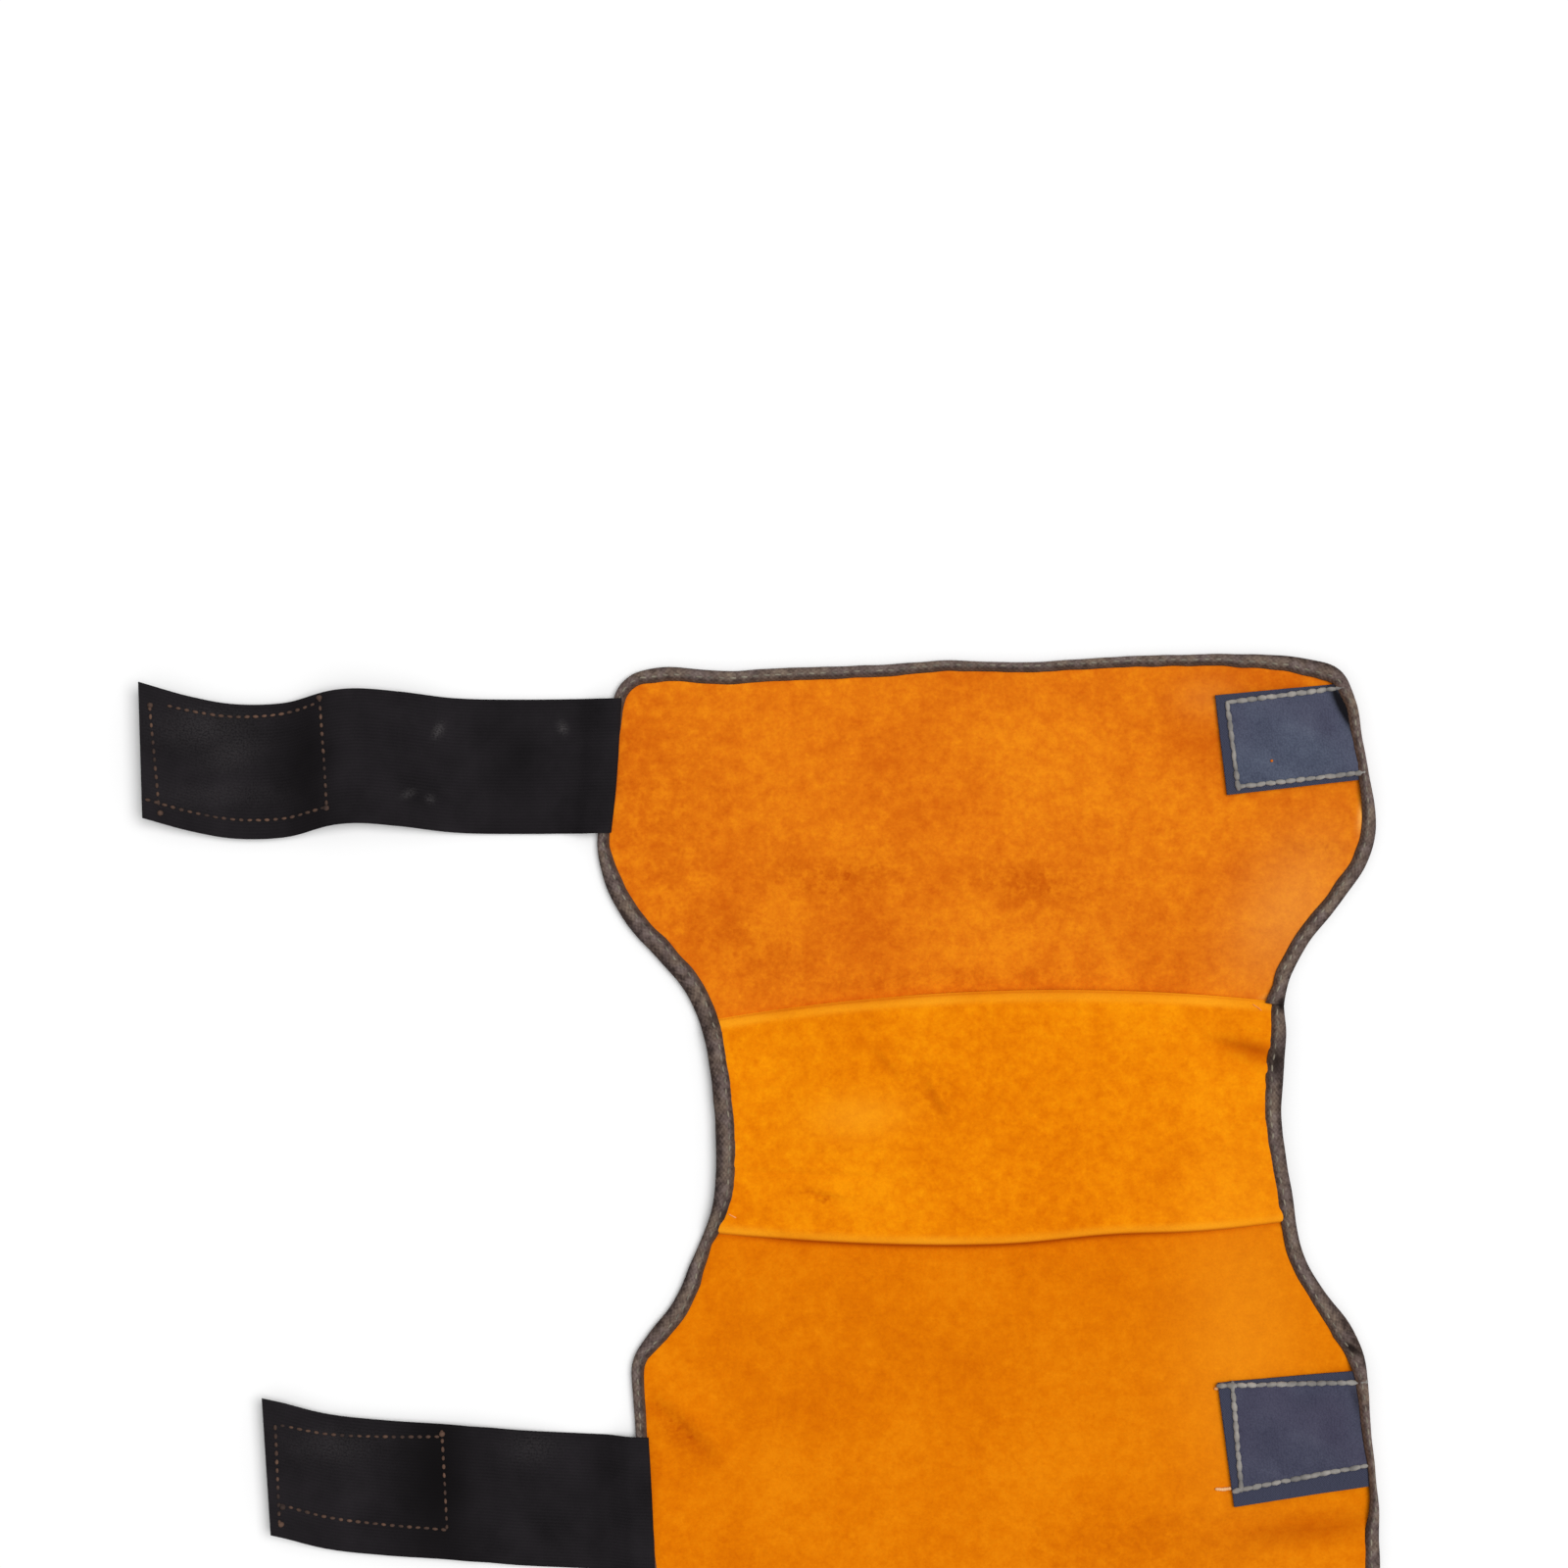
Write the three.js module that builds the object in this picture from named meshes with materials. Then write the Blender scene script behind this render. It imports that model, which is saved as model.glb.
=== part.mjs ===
// A suede leg cover for welding, laid flat with its outer face up.
// Millimetres, +Z up. X runs to the right edge with the loop patches, Y runs up to the thigh hem.
// Tables are measured from the middle of the knee, and the finished group is moved to its footprint's middle.

import * as THREE from "three";
import { mergeVertices } from "three/addons/utils/BufferGeometryUtils.js";

// Driving dimensions
const LEATHER = 1.6;
const TAPE = 0.7;
const TAPE_COVER = 5.4;
const TAPE_NOSE = 1.1;
const STRAP_WIDTH = 50;
const STRAP_THICK = 1.5;
const HOOK_THICK = 1.6;
const LOOP_THICK = 1.3;
const GAP = 0.3;
const FOOTPRINT_MIDDLE = { x: -88, y: -114 };

// The binding folds round the leather's edge, which stops short of the fold. The leather is flat
// under the tape, as high as the tape's lower leg, and then falls to the surface it lies on.
const EDGE_IN = TAPE + 0.9;
const BINDING_THICK = LEATHER + 2 * (GAP + TAPE);
const EDGE_LIFT = TAPE + GAP;
const EDGE_FLAT = TAPE_COVER + 1.5;
const EDGE_FALL = 16;

// Gap between the ends of two lengths of tape at a seam
const TAPE_END_GAP = 2.4;

// Knee puff: rise of its broad top, share lost at the sides, and how late it rolls down there and at
// the seams.
const KNEE = { rise: 6.5, sideDrop: 0.75, sidePower: 2.4, seamPower: 18, rollPower: 0.5 };

// Outer edges of the cover, a row for each level from the thigh hem down to the ankle hem.
const LEVELS = [
  { y: 156, left: -143.2, right: 133 },
  { y: 138, left: -145, right: 135.9 },
  { y: 120, left: -147, right: 139.5 },
  { y: 103, left: -149.3, right: 140.3 },
  { y: 88, left: -146.4, right: 133.4 },
  { y: 73, left: -139.1, right: 121.9 },
  { y: 58, left: -125.6, right: 111.3 },
  { y: 44, left: -114.7, right: 106.5 },
  { y: 29, left: -109.1, right: 106.9 },
  { y: 0, left: -105.4, right: 105.2 },
  { y: -29, left: -105.6, right: 109.4 },
  { y: -44, left: -109.8, right: 111.8 },
  { y: -58, left: -116.2, right: 116.7 },
  { y: -73, left: -123.3, right: 128.6 },
  { y: -86, left: -135, right: 135.5 },
  { y: -97, left: -135.9, right: 137.4 },
  { y: -116, left: -134.9, right: 138.7 },
  { y: -146, left: -133.2, right: 141.6 },
  { y: -260, left: -128.5, right: 139.5 },
  { y: -384, left: -119, right: 130 },
];

// Hems between the two sides, with their rounded corners as the first and last rows.
const THIGH_HEM = [
  { x: -138.8, y: 163.2 },
  { x: -129, y: 167.4 },
  { x: -119.5, y: 167.6 },
  { x: -103, y: 166.1 },
  { x: -83, y: 167.2 },
  { x: -47, y: 168.3 },
  { x: -19, y: 170.1 },
  { x: 8, y: 169.4 },
  { x: 54, y: 171.9 },
  { x: 99, y: 172.3 },
  { x: 114, y: 170.9 },
  { x: 127, y: 166.8 },
];
const ANKLE_HEM = [
  { x: 125.5, y: -394 },
  { x: 114, y: -399 },
  { x: 5, y: -400 },
  { x: -103, y: -399 },
  { x: -114.5, y: -394 },
];

// Knee seams: height where each one meets the left and the right edge, and how far it bows between them.
const SEAM_REACH = 110;
const SEAMS = {
  upper: { left: 35.5, right: 42.5, bow: 8 },
  lower: { left: -42, right: -38, bow: -7 },
};

// Soft folds in the leather: middle, turn in degrees, half length, half width and rise.
const FOLDS = [
  { name: "roll above the knee", x: 0, y: 76, turn: 2, long: 125, wide: 27, rise: 1.8 },
  { name: "thigh swell", x: -62, y: 122, turn: -14, long: 78, wide: 40, rise: 1.8 },
  { name: "hem swell", x: 18, y: 138, turn: 6, long: 58, wide: 24, rise: 1.3 },
  { name: "roll below the knee", x: 4, y: -76, turn: -1, long: 118, wide: 25, rise: 1.5 },
  { name: "strap corner crease", x: -116, y: -113, turn: -42, long: 24, wide: 11, rise: 1.8 },
  { name: "fold below the patch", x: 108, y: -164, turn: 3, long: 46, wide: 14, rise: 2.6 },
  { name: "shin swell", x: -28, y: -262, turn: 24, long: 92, wide: 46, rise: 3 },
  { name: "ankle swell", x: 52, y: -344, turn: -20, long: 80, wide: 36, rise: 3 },
  { name: "knee crease left", x: -62, y: -22, turn: 5, long: 44, wide: 9, rise: -0.6 },
  { name: "knee crease right", x: 84, y: 27, turn: -12, long: 30, wide: 8, rise: -0.8 },
];

// Straps: place and slant of the free end, reach in over the binding at the strap's lower and upper
// edges, and the span of the hook tape.
// Rows give the middle line in plan and its lift, from just past the free end to the cover.
const STRAPS = {
  upper: {
    tip: -317.6,
    tipSlant: 1.4,
    inside: { foot: 5.5, head: 3.4 },
    hook: { from: 2, to: 70 },
    rows: [
      { x: -326, y: 139.4, lift: 9 },
      { x: -313, y: 135.3, lift: 4.5 },
      { x: -300, y: 131.6, lift: 1.5 },
      { x: -284, y: 128.8, lift: 0 },
      { x: -265, y: 129.3, lift: 0 },
      { x: -249, y: 133.5, lift: 4.4 },
      { x: -238.5, y: 134.6, lift: 5.2 },
      { x: -222, y: 133.4, lift: 4.4 },
      { x: -202, y: 131, lift: 1 },
      { x: -176, y: 130.5, lift: 0 },
      { x: -140, y: 131, lift: 0 },
    ],
  },
  lower: {
    tip: -271.5,
    tipSlant: 3.2,
    inside: { foot: 4.8, head: 4.9 },
    hook: { from: 2, to: 70 },
    rows: [
      { x: -280, y: -127, lift: 5 },
      { x: -266, y: -130.5, lift: 2.4 },
      { x: -250, y: -135, lift: 0 },
      { x: -228, y: -137.5, lift: 0 },
      { x: -204, y: -139, lift: 0.5 },
      { x: -180, y: -141, lift: 2 },
      { x: -158, y: -142.5, lift: 0 },
      { x: -120, y: -144, lift: 0 },
    ],
  },
};

// A strap comes down past its hook tape and climbs on to the binding over these stretches.
const HOOK_MARGIN = 2;
const HOOK_RUN_OUT = { from: 3, to: 14 };
const EDGE_CLIMB = { from: -13, to: -2 };

// Loop patches: left-hand corners and the slopes of the two sides, which run in under the binding.
const LOOP_PATCHES = {
  upper: { top: { x: 80.6, y: 157, slope: 0.085 }, bottom: { x: 85.1, y: 120, slope: 0.108 } },
  lower: { top: { x: 81.6, y: -98.5, slope: 0.085 }, bottom: { x: 87.7, y: -144.5, slope: 0.148 } },
};
const PATCH_UNDER = 2.6;
const BULGE_MARGIN = 7;
const BULGE_FADE = 8;

// Facets across and along each piece
const ACROSS = 24;
const FACETS = { thigh: 12, knee: 16, shin: 26, strapLong: 36, strapAcross: 3, hookLong: 14, patch: 7 };

const { lerp, smoothstep } = THREE.MathUtils;

function material(color, roughness) {
  return new THREE.MeshStandardMaterial({ color, roughness, metalness: 0 });
}

const FINISH = {
  thigh: material("#d9741f", 0.95),
  knee: material("#e58a14", 0.95),
  shin: material("#dc7d14", 0.95),
  binding: material("#57504d", 0.85),
  strap: material("#232124", 0.8),
  hook: material("#2b2a2d", 0.9),
  loop: material("#4a5064", 0.95),
};

// The whole outline is one closed curve, clockwise from the ankle's left corner.
const leftSide = LEVELS.map(({ y, left }) => new THREE.Vector3(left, y, 0)).reverse();
const rightSide = LEVELS.map(({ y, right }) => new THREE.Vector3(right, y, 0));
const hemPoints = (rows) => rows.map(({ x, y }) => new THREE.Vector3(x, y, 0));
const outlinePoints = [...leftSide, ...hemPoints(THIGH_HEM), ...rightSide, ...hemPoints(ANKLE_HEM)];
const outline = new THREE.CatmullRomCurve3(outlinePoints, true, "centripetal");

// A place on the outline is a share of its whole length, and stop() gives the place of a table row.
const STEPS_PER_ROW = 40;
outline.arcLengthDivisions = STEPS_PER_ROW * outlinePoints.length;
const lengths = outline.getLengths();
const stop = (index) => lengths[STEPS_PER_ROW * index] / lengths.at(-1);

function seamHeight(seam, x) {
  const share = (x + SEAM_REACH) / (2 * SEAM_REACH);
  return lerp(seam.left, seam.right, share) + 4 * seam.bow * share * (1 - share);
}

// Place on the outline, between two stops, where a test function changes sign.
function findStop(from, to, test) {
  let low = from;
  let high = to;
  const rising = test(outline.getPointAt(low)) < 0;
  for (let step = 0; step < 40; step += 1) {
    const middle = (low + high) / 2;
    if (test(outline.getPointAt(middle)) < 0 === rising) low = middle;
    else high = middle;
  }
  return low;
}

const atSeam = (seam) => (point) => point.y - seamHeight(seam, point.x);
const thighLeft = stop(leftSide.length);
const thighRight = stop(leftSide.length + THIGH_HEM.length - 1);
const rightStart = stop(leftSide.length + THIGH_HEM.length);
const ankleRight = stop(outlinePoints.length - ANKLE_HEM.length);
const ankleLeft = stop(outlinePoints.length - 1);
const STOPS = {
  thighLeft,
  thighRight,
  ankleRight,
  ankleLeft: ankleLeft - 1,
  upperLeft: findStop(0, thighLeft, atSeam(SEAMS.upper)),
  lowerLeft: findStop(0, thighLeft, atSeam(SEAMS.lower)),
  upperRight: findStop(rightStart, ankleRight, atSeam(SEAMS.upper)),
  lowerRight: findStop(rightStart, ankleRight, atSeam(SEAMS.lower)),
};

const wrap = (place) => (place + 1) % 1;

// Point on the outline moved inward by a distance, in plan.
function edgePoint(place, inward) {
  const point = outline.getPointAt(wrap(place));
  const along = outline.getTangentAt(wrap(place));
  return new THREE.Vector3(point.x + along.y * inward, point.y - along.x * inward, 0);
}

// Distance in plan from a point to the outline.
const rim = outline.getSpacedPoints(outlinePoints.length * STEPS_PER_ROW);
const fromRim = (x, y) => Math.min(...rim.map((point) => Math.hypot(point.x - x, point.y - y)));

// How high the leather stands above the surface: the knee's puff and the soft folds.
function kneePuff(x, y) {
  const top = seamHeight(SEAMS.upper, x);
  const bottom = seamHeight(SEAMS.lower, x);
  const share = THREE.MathUtils.clamp((y - bottom) / (top - bottom), 0, 1);
  const side = Math.min(1, Math.abs(x) / SEAM_REACH);
  const across = 1 - KNEE.sideDrop * side ** KNEE.sidePower;
  return KNEE.rise * across * (1 - Math.abs(2 * share - 1) ** KNEE.seamPower) ** KNEE.rollPower;
}

function foldRise(fold, x, y) {
  const turn = THREE.MathUtils.degToRad(fold.turn);
  const dx = x - fold.x;
  const dy = y - fold.y;
  const along = (dx * Math.cos(turn) + dy * Math.sin(turn)) / fold.long;
  const across = (dy * Math.cos(turn) - dx * Math.sin(turn)) / fold.wide;
  return fold.rise * Math.max(0, 1 - along ** 2 - across ** 2) ** 2;
}

function lie(x, y) {
  return FOLDS.reduce((height, fold) => height + foldRise(fold, x, y), kneePuff(x, y));
}

// The leather lies on the surface, and rises at its edges to the middle of the folded binding.
function leatherUnder(x, y) {
  return lie(x, y) + EDGE_LIFT * (1 - smoothstep(fromRim(x, y), EDGE_FLAT, EDGE_FLAT + EDGE_FALL));
}

function finished(geometry) {
  geometry.deleteAttribute("normal");
  geometry.deleteAttribute("uv");
  geometry.clearGroups();
  const merged = mergeVertices(geometry, 1e-5);
  merged.computeVertexNormals();
  return merged;
}

// A flat slab of facets, each corner of which is moved to place(u, v, isTop).
function slab(across, along, place) {
  const geometry = new THREE.BoxGeometry(1, 1, 1, across, along, 1);
  const spots = geometry.attributes.position;
  for (let index = 0; index < spots.count; index += 1) {
    const u = spots.getX(index) + 0.5;
    const v = spots.getY(index) + 0.5;
    const spot = place(u, v, spots.getZ(index) > 0);
    spots.setXYZ(index, spot.x, spot.y, spot.z);
  }
  return finished(geometry);
}

// Point inside four boundary curves, each one a function from 0 to 1.
function insidePatch({ left, right, bottom, top }, u, v) {
  const sides = left(v).multiplyScalar(1 - u).add(right(v).multiplyScalar(u));
  const ends = bottom(u).multiplyScalar(1 - v).add(top(u).multiplyScalar(v));
  const low = left(0).multiplyScalar(1 - u).add(right(0).multiplyScalar(u));
  const high = left(1).multiplyScalar(1 - u).add(right(1).multiplyScalar(u));
  return sides.add(ends).sub(low.multiplyScalar(1 - v)).sub(high.multiplyScalar(v));
}

const sideCurve = (from, to) => (share) => edgePoint(lerp(from, to, share), EDGE_IN);

function seamCurve(seam, fromPlace, toPlace, shift) {
  const from = edgePoint(fromPlace, EDGE_IN);
  const to = edgePoint(toPlace, EDGE_IN);
  return (share) => {
    const x = lerp(from.x, to.x, share);
    const ends = lerp(from.y - seamHeight(seam, from.x), to.y - seamHeight(seam, to.x), share);
    return new THREE.Vector3(x, seamHeight(seam, x) + ends + shift, 0);
  };
}

// A side curve whose ends are shifted to meet the shifted seams.
function meetSeams(curve, lowShift, highShift) {
  return (share) => {
    const point = curve(share);
    point.y += lerp(lowShift, highShift, share);
    return point;
  };
}

const HALF_GAP = GAP / 2;
const BOUNDS = {
  thigh: {
    left: meetSeams(sideCurve(STOPS.upperLeft, STOPS.thighLeft), HALF_GAP, 0),
    right: meetSeams(sideCurve(STOPS.upperRight, STOPS.thighRight), HALF_GAP, 0),
    bottom: seamCurve(SEAMS.upper, STOPS.upperLeft, STOPS.upperRight, HALF_GAP),
    top: sideCurve(STOPS.thighLeft, STOPS.thighRight),
  },
  knee: {
    left: meetSeams(sideCurve(STOPS.lowerLeft, STOPS.upperLeft), HALF_GAP, -HALF_GAP),
    right: meetSeams(sideCurve(STOPS.lowerRight, STOPS.upperRight), HALF_GAP, -HALF_GAP),
    bottom: seamCurve(SEAMS.lower, STOPS.lowerLeft, STOPS.lowerRight, HALF_GAP),
    top: seamCurve(SEAMS.upper, STOPS.upperLeft, STOPS.upperRight, -HALF_GAP),
  },
  shin: {
    left: meetSeams(sideCurve(STOPS.ankleLeft, STOPS.lowerLeft), 0, -HALF_GAP),
    right: meetSeams(sideCurve(STOPS.ankleRight, STOPS.lowerRight), 0, -HALF_GAP),
    bottom: sideCurve(STOPS.ankleLeft + 1, STOPS.ankleRight),
    top: seamCurve(SEAMS.lower, STOPS.lowerLeft, STOPS.lowerRight, -HALF_GAP),
  },
};

// Facet rows gather towards the seams, where the knee rolls over.
const gather = (share) => 0.5 - 0.5 * Math.cos(Math.PI * share);

// The first and last facets of a count reach just past the binding, and the rest are even.
const UNDER_BINDING = EDGE_FLAT - EDGE_IN;

function pastBinding(share, count, length, atStart, atEnd) {
  const first = atStart ? UNDER_BINDING / length : 1 / count;
  const last = atEnd ? UNDER_BINDING / length : 1 / count;
  const index = share * count;
  if (index < 1) return index * first;
  if (index > count - 1) return 1 - (count - index) * last;
  return lerp(first, 1 - last, (index - 1) / (count - 2));
}

const acrossSpacing = (length) => (share) => pastBinding(share, ACROSS, length, true, true);

function panel(bounds, rows, spacing) {
  return slab(ACROSS, rows, (column, row, isTop) => {
    const v = spacing(row);
    const width = bounds.left(v).distanceTo(bounds.right(v));
    const u = acrossSpacing(width)(column);
    const point = insidePatch(bounds, u, v);
    point.z = leatherUnder(point.x, point.y) + (isTop ? LEATHER : 0);
    return point;
  });
}

// How far the binding's upper leg is raised where it runs over a loop patch, from 0 to 1.
function patchBulge(x, y) {
  if (x < 0) return 0;
  return Object.values(LOOP_PATCHES).reduce((most, { top, bottom }) => {
    const above = y - (top.y + top.slope * (x - top.x)) - BULGE_MARGIN;
    const below = bottom.y + bottom.slope * (x - bottom.x) - BULGE_MARGIN - y;
    return Math.max(most, 1 - smoothstep(Math.max(above, below), 0, BULGE_FADE));
  }, 0);
}

// Tape folded into a U: inward distance from the edge against height.
function bindingSection() {
  const outer = BINDING_THICK;
  const inner = BINDING_THICK - TAPE;
  return new THREE.Shape([
    new THREE.Vector2(TAPE_COVER, outer),
    new THREE.Vector2(TAPE_NOSE, outer),
    new THREE.Vector2(0, outer - TAPE_NOSE),
    new THREE.Vector2(0, TAPE_NOSE),
    new THREE.Vector2(TAPE_NOSE, 0),
    new THREE.Vector2(TAPE_COVER, 0),
    new THREE.Vector2(TAPE_COVER, TAPE),
    new THREE.Vector2(TAPE, TAPE),
    new THREE.Vector2(TAPE, inner),
    new THREE.Vector2(TAPE_COVER, inner),
  ]);
}

// A straight length of folded tape, bent along the stations of the outline.
function binding(stations) {
  const steps = stations.length - 1;
  const geometry = new THREE.ExtrudeGeometry(bindingSection(), { depth: 1, steps, bevelEnabled: false });
  const spots = geometry.attributes.position;
  for (let index = 0; index < spots.count; index += 1) {
    const inward = spots.getX(index);
    const height = spots.getY(index);
    const place = stations[Math.round(spots.getZ(index) * steps)];
    const spot = edgePoint(place, inward);
    const raised = height > BINDING_THICK / 2 ? (LOOP_THICK + GAP) * patchBulge(spot.x, spot.y) : 0;
    spots.setXYZ(index, spot.x, spot.y, height + raised + lie(spot.x, spot.y));
  }
  return finished(geometry);
}

// Stations along the outline, at the same shares as the panel rows beside them.
function stations(from, to, count, spacing) {
  return Array.from({ length: count + 1 }, (_, index) => lerp(from, to, spacing(index / count)));
}

const END_TRIM = TAPE_END_GAP / 2 / lengths.at(-1);
const hemLength = ({ left, right }, v) => left(v).distanceTo(right(v));
const sideLength = ({ bottom, top }) => bottom(0).distanceTo(top(0));
const thighRows = (share) => pastBinding(share, FACETS.thigh, sideLength(BOUNDS.thigh), false, true);
const shinRows = (share) => pastBinding(share, FACETS.shin, sideLength(BOUNDS.shin), true, false);

function thighStations() {
  const hem = acrossSpacing(hemLength(BOUNDS.thigh, 1));
  const up = stations(STOPS.upperRight - END_TRIM, STOPS.thighRight, FACETS.thigh, thighRows);
  const over = stations(STOPS.thighLeft, STOPS.thighRight, ACROSS, hem).reverse();
  const down = stations(STOPS.upperLeft + END_TRIM, STOPS.thighLeft, FACETS.thigh, thighRows).reverse();
  return [...up, ...over.slice(1), ...down.slice(1)];
}

function shinStations() {
  const hem = acrossSpacing(hemLength(BOUNDS.shin, 0));
  const down = stations(STOPS.ankleLeft, STOPS.lowerLeft - END_TRIM, FACETS.shin, shinRows).reverse();
  const over = stations(STOPS.ankleLeft + 1, STOPS.ankleRight, ACROSS, hem);
  const up = stations(STOPS.ankleRight, STOPS.lowerRight + END_TRIM, FACETS.shin, shinRows);
  return [...down, ...over.slice(1), ...up.slice(1)];
}

// A strap's middle line as a curve in plan, with its lift as the third coordinate.
function strapLine(strap) {
  const rows = strap.rows.map(({ x, y, lift }) => new THREE.Vector3(x, y, lift));
  return new THREE.CatmullRomCurve3(rows, false, "centripetal");
}

// Left edge of the cover's binding at a height in plan.
function leftEdge(y) {
  return outline.getPointAt(findStop(0, thighLeft, (point) => point.y - y)).x;
}

// A strap's two ends in plan, at a distance above or below its middle line.
const strapStart = (strap, offset) => strap.tip - (strap.tipSlant * offset) / STRAP_WIDTH;

function strapEnd({ rows, inside }, offset) {
  const reach = lerp(inside.foot, inside.head, offset / STRAP_WIDTH + 0.5);
  return leftEdge(rows.at(-1).y + offset) + reach;
}

function strapSpot(line, x, offset) {
  const middle = pointAtX(line, x);
  return new THREE.Vector3(x, middle.y + offset, Math.max(0, middle.z));
}

function pointAtX(line, x) {
  let low = 0;
  let high = 1;
  for (let step = 0; step < 30; step += 1) {
    const middle = (low + high) / 2;
    if (line.getPoint(middle).x < x) low = middle;
    else high = middle;
  }
  return line.getPoint(low);
}

// Height of a strap's underside: over its hook patch, along the surface, then up on to the binding.
function strapUnder(strap, spot) {
  const fromTip = spot.x - strap.tip;
  const runOut = strap.hook.to + HOOK_RUN_OUT.from;
  const overHook = 1 - smoothstep(fromTip, runOut, strap.hook.to + HOOK_RUN_OUT.to);
  const overEdge = smoothstep(spot.x - leftEdge(spot.y), EDGE_CLIMB.from, EDGE_CLIMB.to);
  const seat = BINDING_THICK + GAP + lie(spot.x, spot.y);
  const lying = spot.z + (HOOK_THICK + GAP) * overHook;
  return lerp(lying, seat, overEdge);
}

function strapBody(strap) {
  const line = strapLine(strap);
  return slab(FACETS.strapLong, FACETS.strapAcross, (u, v, isTop) => {
    const offset = (v - 0.5) * STRAP_WIDTH;
    const spot = strapSpot(line, lerp(strapStart(strap, offset), strapEnd(strap, offset), u), offset);
    spot.z = strapUnder(strap, spot) + (isTop ? STRAP_THICK : 0);
    return spot;
  });
}

// Hook tape under the free end, a little inside the strap's edges.
function hookPatch(strap) {
  const line = strapLine(strap);
  return slab(FACETS.hookLong, FACETS.strapAcross, (u, v, isTop) => {
    const offset = (v - 0.5) * (STRAP_WIDTH - 2 * HOOK_MARGIN);
    const x = strapStart(strap, offset) + lerp(strap.hook.from, strap.hook.to, u);
    const spot = strapSpot(line, x, offset);
    spot.z += isTop ? HOOK_THICK : 0;
    return spot;
  });
}

// Right edge of the cover's binding at a height in plan.
function rightEdge(y) {
  return outline.getPointAt(findStop(thighRight, ankleRight, (point) => point.y - y)).x;
}

function loopPatch({ top, bottom }) {
  return slab(FACETS.patch, FACETS.patch, (u, v, isTop) => {
    const startX = lerp(bottom.x, top.x, v);
    const startY = lerp(bottom.y, top.y, v);
    const endY = startY + lerp(bottom.slope, top.slope, v) * (rightEdge(startY) - startX);
    const endX = rightEdge(endY) - PATCH_UNDER;
    const x = lerp(startX, endX, u);
    const y = lerp(startY, endY, u);
    const seat = leatherUnder(x, y) + LEATHER + GAP;
    return new THREE.Vector3(x, y, seat + (isTop ? LOOP_THICK : 0));
  });
}

const cover = new THREE.Group();
cover.name = "leg_cover";
cover.position.set(-FOOTPRINT_MIDDLE.x, -FOOTPRINT_MIDDLE.y, 0);

function addPiece(name, geometry, finish) {
  const mesh = new THREE.Mesh(geometry, finish);
  mesh.name = name;
  cover.add(mesh);
}

addPiece("thigh_panel", panel(BOUNDS.thigh, FACETS.thigh, thighRows), FINISH.thigh);
addPiece("knee_panel", panel(BOUNDS.knee, FACETS.knee, gather), FINISH.knee);
addPiece("shin_panel", panel(BOUNDS.shin, FACETS.shin, shinRows), FINISH.shin);
addPiece("thigh_binding", binding(thighStations()), FINISH.binding);
addPiece("shin_binding", binding(shinStations()), FINISH.binding);

const kneeLeft = stations(STOPS.upperLeft - END_TRIM, STOPS.lowerLeft + END_TRIM, FACETS.knee, gather);
const kneeRight = stations(STOPS.lowerRight - END_TRIM, STOPS.upperRight + END_TRIM, FACETS.knee, gather);
addPiece("knee_binding_left", binding(kneeLeft), FINISH.binding);
addPiece("knee_binding_right", binding(kneeRight), FINISH.binding);

for (const [name, strap] of Object.entries(STRAPS)) {
  addPiece(`${name}_strap`, strapBody(strap), FINISH.strap);
  addPiece(`${name}_hook_patch`, hookPatch(strap), FINISH.hook);
}
for (const [name, patch] of Object.entries(LOOP_PATCHES)) {
  addPiece(`${name}_loop_patch`, loopPatch(patch), FINISH.loop);
}

export default cover;
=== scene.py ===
# %% [markdown]
# # A welding leg cover, laid flat
#
# The cover is three pieces of split suede sewn into one flat shape that wraps the front of a leg. A
# woven tape binds its edge, two wide elastic straps reach out to the left, and two patches of loop tape
# wait for them on the right. The CAD model already has every piece in place as a plain slab. This
# script reads the slabs, lays finer cloth over them, and gives each cloth its own finish.

# %% Load the frame
import math
import random

import bmesh
import bpy
import numpy as np
from mathutils import Matrix, Vector, noise


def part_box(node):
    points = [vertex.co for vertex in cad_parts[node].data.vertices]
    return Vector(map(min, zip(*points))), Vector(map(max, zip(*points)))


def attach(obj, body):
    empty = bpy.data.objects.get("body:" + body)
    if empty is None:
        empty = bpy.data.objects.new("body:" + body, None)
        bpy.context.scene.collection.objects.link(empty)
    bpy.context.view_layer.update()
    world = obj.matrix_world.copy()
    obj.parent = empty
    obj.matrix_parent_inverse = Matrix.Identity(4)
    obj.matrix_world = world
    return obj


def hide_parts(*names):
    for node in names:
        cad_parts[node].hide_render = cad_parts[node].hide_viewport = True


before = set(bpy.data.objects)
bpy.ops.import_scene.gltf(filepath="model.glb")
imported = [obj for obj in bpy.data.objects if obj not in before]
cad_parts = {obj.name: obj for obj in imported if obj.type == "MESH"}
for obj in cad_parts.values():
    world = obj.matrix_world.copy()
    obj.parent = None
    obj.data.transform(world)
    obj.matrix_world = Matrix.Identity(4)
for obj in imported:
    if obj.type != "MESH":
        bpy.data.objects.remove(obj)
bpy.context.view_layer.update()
MM = 0.001


# %% [markdown]
# ## Camera, floor and light
#
# The photograph looks straight down, so the camera hangs over the cover and looks along -Z, which is
# how a new camera points before it is turned. A long lens from far away keeps the edges square. The
# light is a wide soft sun, high on the right and a little towards the top hem, under a plain white sky.
# An area lamp could be as soft, but a sun lights the whole length of the cover alike.

# %% Hang the camera over the cover
VIEW_MIDDLE = Vector((8.4, 238.1, 0)) * MM
VIEW_WIDTH = 584 * MM
LENS = 85
SENSOR = 36

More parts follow.
